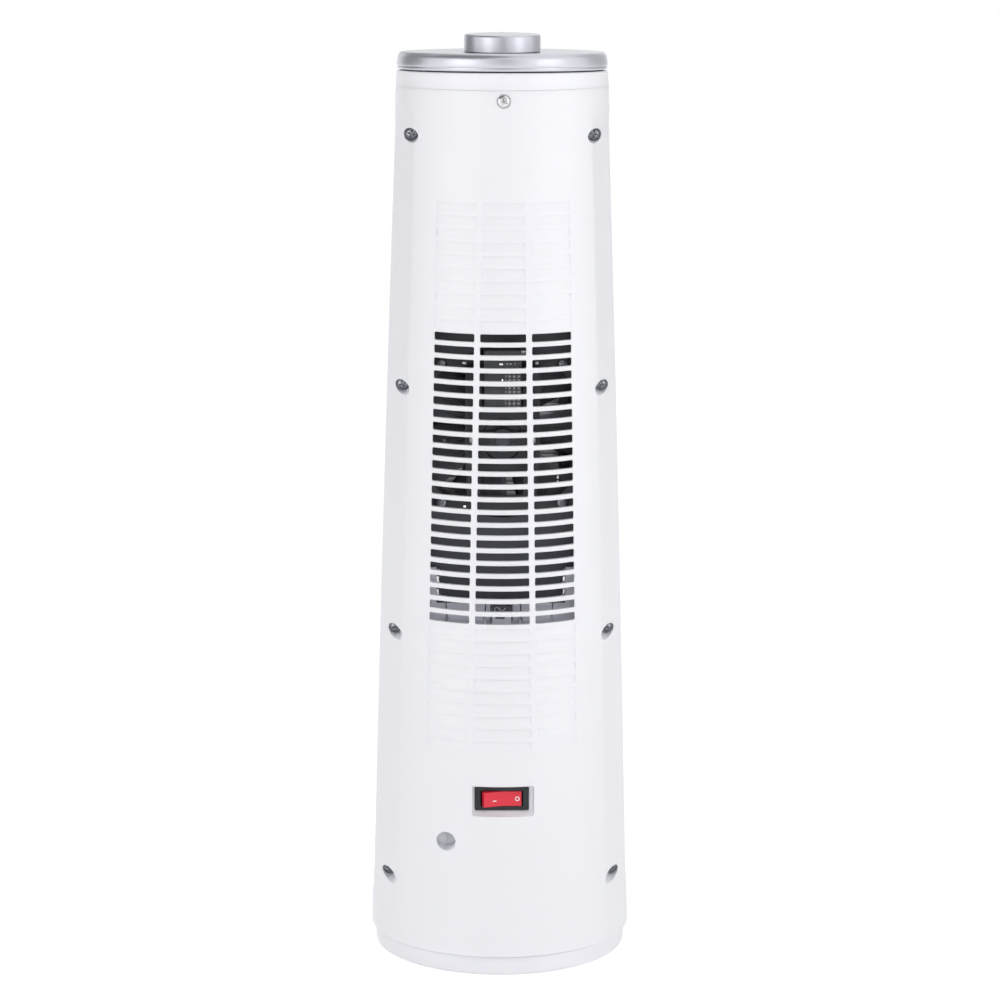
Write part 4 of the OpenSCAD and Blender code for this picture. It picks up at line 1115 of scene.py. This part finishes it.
class HEATER_OT_knob(bpy.types.Operator):
    """Turns the control knob, with its hub, hollow underside and pointer groove"""

    bl_idname = "heater.knob"
    bl_label = "Knob"

    def execute(self, context):
        sizes = context.scene.heater_cap
        low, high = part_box("knob")
        r, z0, z1 = high.x, low.z - 0.75 * MM, high.z - sizes.knob_drop
        bore_r, hub_r, wall, bevel, dish = 3.05 * MM, 6 * MM, 2 * MM, 0.35 * MM, 0.25 * MM
        bore_z, hollow_z = z1 - 1.1 * MM, z1 - 2.2 * MM
        edge, edge_r = sizes.knob_edge, r - 0.1 * MM - sizes.knob_edge
        profile = [
            (0.0, bore_z), (bore_r, bore_z), (bore_r, z0), (hub_r, z0), (hub_r, hollow_z),
            (r - wall, hollow_z), (r - wall, z0), (r - bevel, z0), (r, z0 + bevel)]
        profile += corner(edge_r, z1 - dish - edge, edge, 0, 86) + top_face(edge_r, z1, dish, 2)
        knob = object_from_bmesh("knob_skin", lathe(profile, 96))
        groove = prism_y(1.2 * MM, 1.0 * MM, 0.3 * MM, 2 * MM - r, 10 * MM - r, (0.0, z1))
        combine(knob, object_from_bmesh("groove", groove), "DIFFERENCE")
        shade(knob, 40)
        finish_piece(knob, "knob")
        return {"FINISHED"}


class HEATER_OT_base(bpy.types.Operator):
    """Rounds the base and draws its lower edge down to a low skirt round its feet"""

    bl_idname = "heater.base"
    bl_label = "Base"

    def execute(self, context):
        skirt = context.scene.heater_cap.skirt
        low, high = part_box("base_plate")
        rim_r, rim_z = high.x - 2.5 * MM, low.z + 1.2 * MM
        bm = merged("base_plate")
        for vert in bm.verts:
            if math.hypot(vert.co.x, vert.co.y) > rim_r and vert.co.z < rim_z:
                vert.co.z -= skirt
        base = object_from_bmesh("base_plate_skin", bm)
        soften(base, 0.3 * MM)
        finish_piece(base, "base_plate")
        return {"FINISHED"}


def wire(name, points, radius):
    """A round wire through points, as a plain mesh."""
    curve = bpy.data.curves.new(name, "CURVE")
    curve.dimensions = "3D"
    curve.bevel_depth = radius
    curve.bevel_resolution = 3
    curve.use_fill_caps = True
    spline = curve.splines.new("BEZIER")
    spline.bezier_points.add(len(points) - 1)
    for knot, point in zip(spline.bezier_points, points):
        knot.co = point
        knot.handle_left_type = knot.handle_right_type = "AUTO"
    item = new_object(name, curve)
    bpy.context.view_layer.update()
    graph = bpy.context.evaluated_depsgraph_get()
    mesh = bpy.data.meshes.new_from_object(item.evaluated_get(graph))
    bpy.data.objects.remove(item)
    bpy.data.curves.remove(curve)
    piece = new_object(name, mesh)
    shade(piece, 60)
    return piece


# Panels of the deck's upstanding edge, from +X to -X: the places of their ends at the top and at the
# foot, and the height of the top over the deck, in millimetres
DECK_PANELS = (
    ((46.0, 39.0), (46.0, 39.0), 33.0), ((39.0, 33.8), (39.0, 33.0), 11.0),
    ((33.1, 9.8), (32.3, 10.6), 11.0), ((9.1, 6.7), (9.9, 6.7), 11.0),
    ((-6.7, -11.0), (-6.7, -12.0), 11.0), ((-11.7, -30.5), (-12.7, -29.8), 11.0),
    ((-31.2, -38.4), (-30.5, -38.4), 11.0), ((-38.4, -46.0), (-38.4, -46.0), 33.0),
)
PANEL_SIDES = (34.3, 35.5)  # places of the panels' two sides on y
PANEL_FOOT = -0.6  # height of their lower edges

# Bends of the wire clip on the limit switch: places on x and heights over the deck, in millimetres
CLIP_BENDS = (
    (4.0, 8.4), (4.1, 10.0), (3.3, 10.8), (1.9, 10.5), (1.3, 9.5), (0.1, 9.0), (-1.2, 9.3), (-2.2, 10.7))


class HEATER_OT_deck(bpy.types.Operator):
    """Rounds the deck, raises its rear edge in panels and sets the limit switch on it"""

    bl_idname = "heater.deck"
    bl_label = "Deck and limit switch"

    def execute(self, context):
        low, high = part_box("limit_switch")
        deck = rounded_copy("deck", 0.3 * MM)
        panels = []
        for (left, right), (foot_left, foot_right), top in DECK_PANELS:
            outline = ((left, top), (right, top), (foot_right, PANEL_FOOT), (foot_left, PANEL_FOOT))
            panels.append(loft([
                [(x * MM, y * MM, low.z + z * MM) for x, z in outline] for y in PANEL_SIDES]))
        add_to(deck, panels)
        shade(deck)
        width, split, lid_h = high.x - low.x, low.z + 8.2 * MM, 1.5 * MM
        body_z = (high.z - lid_h + split) / 2
        plunger_at = (1 * MM, low.z + 4.9 * MM)
        switch = joined("limit_switch_skin", [
            prism_y(width - 1.2 * MM, high.z - split - lid_h, 0.6 * MM, low.y, high.y, (0, body_z)),
            prism_y(
                width - 4 * MM, 2 * MM, 0.4 * MM, low.y + 4 * MM, high.y - 4 * MM, (0, high.z - 1 * MM)),
            prism_y(6 * MM, 1.9 * MM, 0.9 * MM, high.y - 1 * MM, high.y - 0.2 * MM, plunger_at)])
        shade(switch)
        finish_piece(switch, "limit_switch")
        foot = object_from_bmesh("limit_switch_foot", prism_y(
            width - 0.6 * MM, split - low.z, 0.3 * MM, low.y + 0.4 * MM, high.y - 0.5 * MM,
            (0, (low.z + split) / 2)))
        shade(foot)
        finish_piece(foot, "deck", "grey_plastic")
        bends = [(x * MM, high.y, low.z + z * MM) for x, z in CLIP_BENDS]
        clip = wire("limit_switch_clip", bends, 0.38 * MM)
        finish_piece(clip, "limit_switch", "nickel_steel")
        return {"FINISHED"}


# Small bright pressed tabs of three nodes: x, z, width and height in millimetres, and the way that
# each is bent, in degrees towards +X
TABS = {
    "motor_bracket": (
        (22.6, 367.3, 2.4, 1.2, 18), (-20.6, 367.3, 2.0, 1.4, -18), (34.3, 320.4, 2.0, 2.4, -23),
        (34.3, 317.4, 1.2, 1.4, -23), (-33.4, 298.8, 0.9, 2.2, 22), (-33.4, 295.8, 0.9, 1.2, 22),
        (22.2, 280.6, 1.5, 1.2, 18)),
    "motor_coil": (
        (1.0, 369.7, 2.2, 1.2, 18), (-2.6, 369.8, 0.7, 0.6, -18), (-4.6, 369.8, 0.9, 0.6, -18),
        (-7.4, 369.7, 0.8, 0.7, -18), (-9.6, 369.6, 0.9, 0.8, -18), (0.2, 360.0, 0.8, 1.3, 18)),
    "fan_shroud": (
        (38.3, 234.6, 1.4, 3.4, -23), (38.3, 226.8, 1.0, 3.0, -23), (-37.6, 234.8, 1.2, 2.6, 22),
        (-37.6, 227.0, 0.8, 2.6, 22)),
}
TAB_THICK = 1.2 * MM
TAB_PROUD = 0.5 * MM
TAB_TILT = math.radians(13)


class HEATER_OT_tabs(bpy.types.Operator):
    """Adds the bright tabs that show as glints behind the slots, and the rear bearing's dust cap"""

    bl_idname = "heater.tabs"
    bl_label = "Bright tabs and dust cap"

    def execute(self, context):
        for node, tabs in TABS.items():
            face_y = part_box(node)[1].y + TAB_PROUD
            parts = []
            for x, z, width, height, bend in tabs:
                tab = prism_y(width * MM, height * MM, 0.2 * MM, -TAB_THICK, 0.0)
                place = Matrix.Translation((x * MM, face_y, z * MM))
                turn = Matrix.Rotation(math.radians(-bend), 4, "Z") @ Matrix.Rotation(TAB_TILT, 4, "X")
                bmesh.ops.transform(tab, matrix=place @ turn, verts=tab.verts)
                parts.append(tab)
            piece = joined(node + "_tabs", parts)
            shade(piece)
            finish_piece(piece, node, "nickel_steel")
        low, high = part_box("rear_bearing")
        shaft_low, shaft_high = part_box("fan_shaft")
        room, wall, bevel, start = 0.5 * MM, 0.9 * MM, 0.5 * MM, 0.05 * MM
        bore = (shaft_high.x - shaft_low.x) / 2 + room
        reach = max(0.0, shaft_high.y - high.y) + room
        top = reach + 0.8 * MM
        cup = lathe([
            (0.0, reach), (bore, reach), (bore, start), (bore + wall, start),
            (bore + wall, top - bevel), (bore + wall - bevel, top), (0.0, top)], 32)
        place = Matrix.Translation((0.0, high.y, (low.z + high.z) / 2))
        bmesh.ops.transform(cup, matrix=place @ Matrix.Rotation(-math.pi / 2, 4, "X"), verts=cup.verts)
        cup = object_from_bmesh("bearing_dust_cap", cup)
        shade(cup)
        finish_piece(cup, "rear_bearing", "charcoal_plastic")
        return {"FINISHED"}


class HEATER_OT_switch_marks(bpy.types.Operator):
    """Adds the plain on and off marks to the rocker"""

    bl_idname = "heater.switch_marks"
    bl_label = "Switch marks"

    def execute(self, context):
        joint = next(j for j in frame["record"]["behaviour"]["joints"] if j["name"] == "rocker_tilt")
        tilt, lift = math.radians(9), 2.52 * MM
        pivot = Matrix.Translation(joint["pos_m"]) @ Matrix.Rotation(tilt, 4, "Z")
        inner, outer, thick = 0.85 * MM, 1.4 * MM, 0.06 * MM
        ring = lathe([(inner, 0), (outer, 0), (outer, thick), (inner, thick), (inner, 0)], 40)
        bar = bmesh.new()
        bmesh.ops.create_cube(bar, size=1.0, matrix=Matrix.Diagonal((2.2 * MM, 0.55 * MM, 0.5 * MM, 1.0)))
        for side, reach, drop, mark in ((-1, 8.8 * MM, 0.0, ring), (1, 4.9 * MM, -1.0 * MM, bar)):
            face = Matrix.Rotation(side * tilt, 4, "Z") @ Matrix.Rotation(-math.pi / 2, 4, "X")
            place = Matrix.Translation((side * reach, lift + reach * math.tan(tilt), drop))
            bmesh.ops.transform(mark, matrix=pivot @ place @ face, verts=mark.verts)
        marks = joined("rocker_marks", [ring, bar])
        finish_piece(marks, "switch_rocker", "mark_white")
        return {"FINISHED"}


class HEATER_OT_stage(bpy.types.Operator):
    """Adds the floor, the lights, the world and the camera"""

    bl_idname = "heater.stage"
    bl_label = "Stage"

    def execute(self, context):
        scene = context.scene
        stage = scene.heater_stage
        scene.view_settings.view_transform = "Standard"
        add_camera(scene, stage)
        add_world(scene, stage)
        add_floor()
        add_lights()
        add_cards()
        return {"FINISHED"}


def add_camera(scene, stage):
    """The camera, at the photograph's viewing angle."""
    data = bpy.data.cameras.new("camera")
    data.sensor_width = 36.0
    data.lens = stage.lens
    data.clip_end = 30.0
    camera = new_object("camera", data)
    camera.location = (
        stage.distance * math.sin(stage.turn), stage.distance * math.cos(stage.turn), stage.height)
    level = Matrix.Rotation(math.pi - stage.turn + stage.yaw, 4, "Z")
    look = level @ Matrix.Rotation(math.pi / 2 - stage.pitch, 4, "X")
    camera.rotation_euler = (look @ Matrix.Rotation(stage.roll, 4, "Z")).to_euler()
    scene.camera = camera


def add_world(scene, stage):
    """An even pale light, which the camera and shiny surfaces see as white."""
    world = bpy.data.worlds.new("studio")
    world.use_nodes = True
    sheet = Nodes(world.node_tree)
    even, white = sheet.tree.nodes["Background"], sheet.node("ShaderNodeBackground")
    for node, strength in ((even, stage.world), (white, 1.0)):
        sheet.feed(node, Color=(1.0, 1.0, 1.0, 1.0), Strength=strength)
    mix = sheet.run_through(
        "ShaderNodeMixShader", sheet.shown_white(), even.outputs[0], white.outputs[0])
    sheet.put(mix, sheet.tree.nodes["World Output"].inputs["Surface"])
    scene.world = world


def add_floor():
    """A pale floor that the camera sees as white, with the object's shadow kept."""
    bm = bmesh.new()
    bmesh.ops.create_grid(bm, x_segments=1, y_segments=1, size=6.0)
    floor = object_from_bmesh("floor", bm)
    sheet = NodeSheet("floor")
    sheet.surface(Base_Color=(0.86, 0.86, 0.86, 1.0), Roughness=0.9, Specular_IOR_Level=0.0)
    share = sheet.spread(sheet.shown_white(), 0.0, 0.85)
    sheet.show(sheet.run_through("ShaderNodeMixShader", share, sheet.shader.outputs[0], sheet.glow(1.15)))
    floor.data.materials.append(sheet.material)


def aim_at(item, place, target=(0.0, 0.0, 0.3)):
    """Puts an item at a place, with its -Z side towards a target."""
    item.location = place
    item.rotation_euler = (Vector(target) - Vector(place)).to_track_quat("-Z", "Y").to_euler()


# Soft boxes: place, width, height and power
BOXES = {
    "right box": ((-2.0, 0.6, 0.75), 1.0, 1.5, 11.6),
    "left box": ((2.0, 0.6, 0.75), 1.0, 1.5, 10.8),
    "camera box": ((-0.3, 2.35, 0.8), 1.3, 0.9, 16.0),
    "top box": ((-0.2, 1.5, 2.3), 1.0, 0.8, 6.0),
    "front box": ((0.9, -1.8, 1.2), 1.0, 1.4, 14.0),
}


def add_lights():
    """Soft boxes at both sides, at the camera and over it, and one before the heat outlet."""
    for name, (place, width, height, power) in BOXES.items():
        data = bpy.data.lights.new(name, "AREA")
        data.shape = "RECTANGLE"
        data.energy = power
        data.size, data.size_y = width, height
        lamp = new_object(name, data)
        aim_at(lamp, place)
        lamp.visible_glossy = False


# Cards seen only in shiny surfaces: direction round from the camera's side towards +X, height,
# distance, width, length and tone
CARDS = {
    "left bright card": (44, 0.55, 2.2, 1.25, 1.6, 1.95),
    "right bright card": (-51, 0.55, 2.2, 1.1, 1.6, 1.88),
    "camera card": (-2, 0.6, 2.5, 0.9, 2.4, 0.4),
    "left side card": (118, 0.9, 2.0, 1.7, 2.4, 0.22),
    "right side card": (-128, 0.9, 2.0, 1.9, 2.4, 0.52),
    "left roof card": (58, 2.2, 1.15, 2.8, 2.5, 0.12),
    "rear roof card": (150, 2.1, 2.4, 2.4, 1.6, 0.3),
}


def add_cards():
    """Bright and grey studio cards that draw the bands on the silver."""
    for name, (turn, height, distance, width, length, tone) in CARDS.items():
        bm = bmesh.new()
        bmesh.ops.create_grid(bm, x_segments=1, y_segments=1, size=0.5)
        bmesh.ops.scale(bm, vec=(width, length, 1.0), verts=bm.verts)
        card = object_from_bmesh(name.replace(" ", "_"), bm)
        way = math.radians(turn)
        aim_at(card, (distance * math.sin(way), distance * math.cos(way), height), (0.0, 0.0, 0.55))
        sheet = NodeSheet(name)
        sheet.show(sheet.glow(tone))
        card.data.materials.append(sheet.material)
        for ray in ("camera", "diffuse", "transmission", "shadow", "volume_scatter"):
            setattr(card, "visible_" + ray, False)


class HEATER_PT_panel(bpy.types.Panel):
    """Lists the heater's pieces in the sidebar"""

    bl_idname = "HEATER_PT_panel"
    bl_label = "Ceramic tower heater"
    bl_space_type = "VIEW_3D"
    bl_region_type = "UI"
    bl_category = "Heater"

    def draw(self, context):
        for step in STEPS:
            self.layout.operator(step)


GROUPS = {
    "heater_body": HeaterBody,
    "heater_grille": HeaterGrille,
    "heater_cap": HeaterCap,
    "heater_finish": HeaterFinish,
    "heater_stage": HeaterStage,
}
OPERATORS = (
    HEATER_OT_plain_nodes, HEATER_OT_rear_cover, HEATER_OT_front_cover, HEATER_OT_screws,
    HEATER_OT_rounded_parts, HEATER_OT_cap, HEATER_OT_knob, HEATER_OT_base, HEATER_OT_deck,
    HEATER_OT_tabs, HEATER_OT_switch_marks, HEATER_OT_stage,
)
STEPS = tuple(operator.bl_idname for operator in OPERATORS)


def register():
    """Registers the classes and hangs the settings on the scene."""
    for name, group in GROUPS.items():
        bpy.utils.register_class(group)
        setattr(bpy.types.Scene, name, PointerProperty(type=group))
    for operator in OPERATORS:
        bpy.utils.register_class(operator)
    bpy.utils.register_class(HEATER_PT_panel)


def unregister():
    """Undoes what register does."""
    bpy.utils.unregister_class(HEATER_PT_panel)
    for operator in reversed(OPERATORS):
        bpy.utils.unregister_class(operator)
    for name, group in GROUPS.items():
        delattr(bpy.types.Scene, name)
        bpy.utils.unregister_class(group)


def main():
    register()
    for step in STEPS:
        family, name = step.split(".")
        getattr(getattr(bpy.ops, family), name)()


if __name__ == "__main__":
    main()
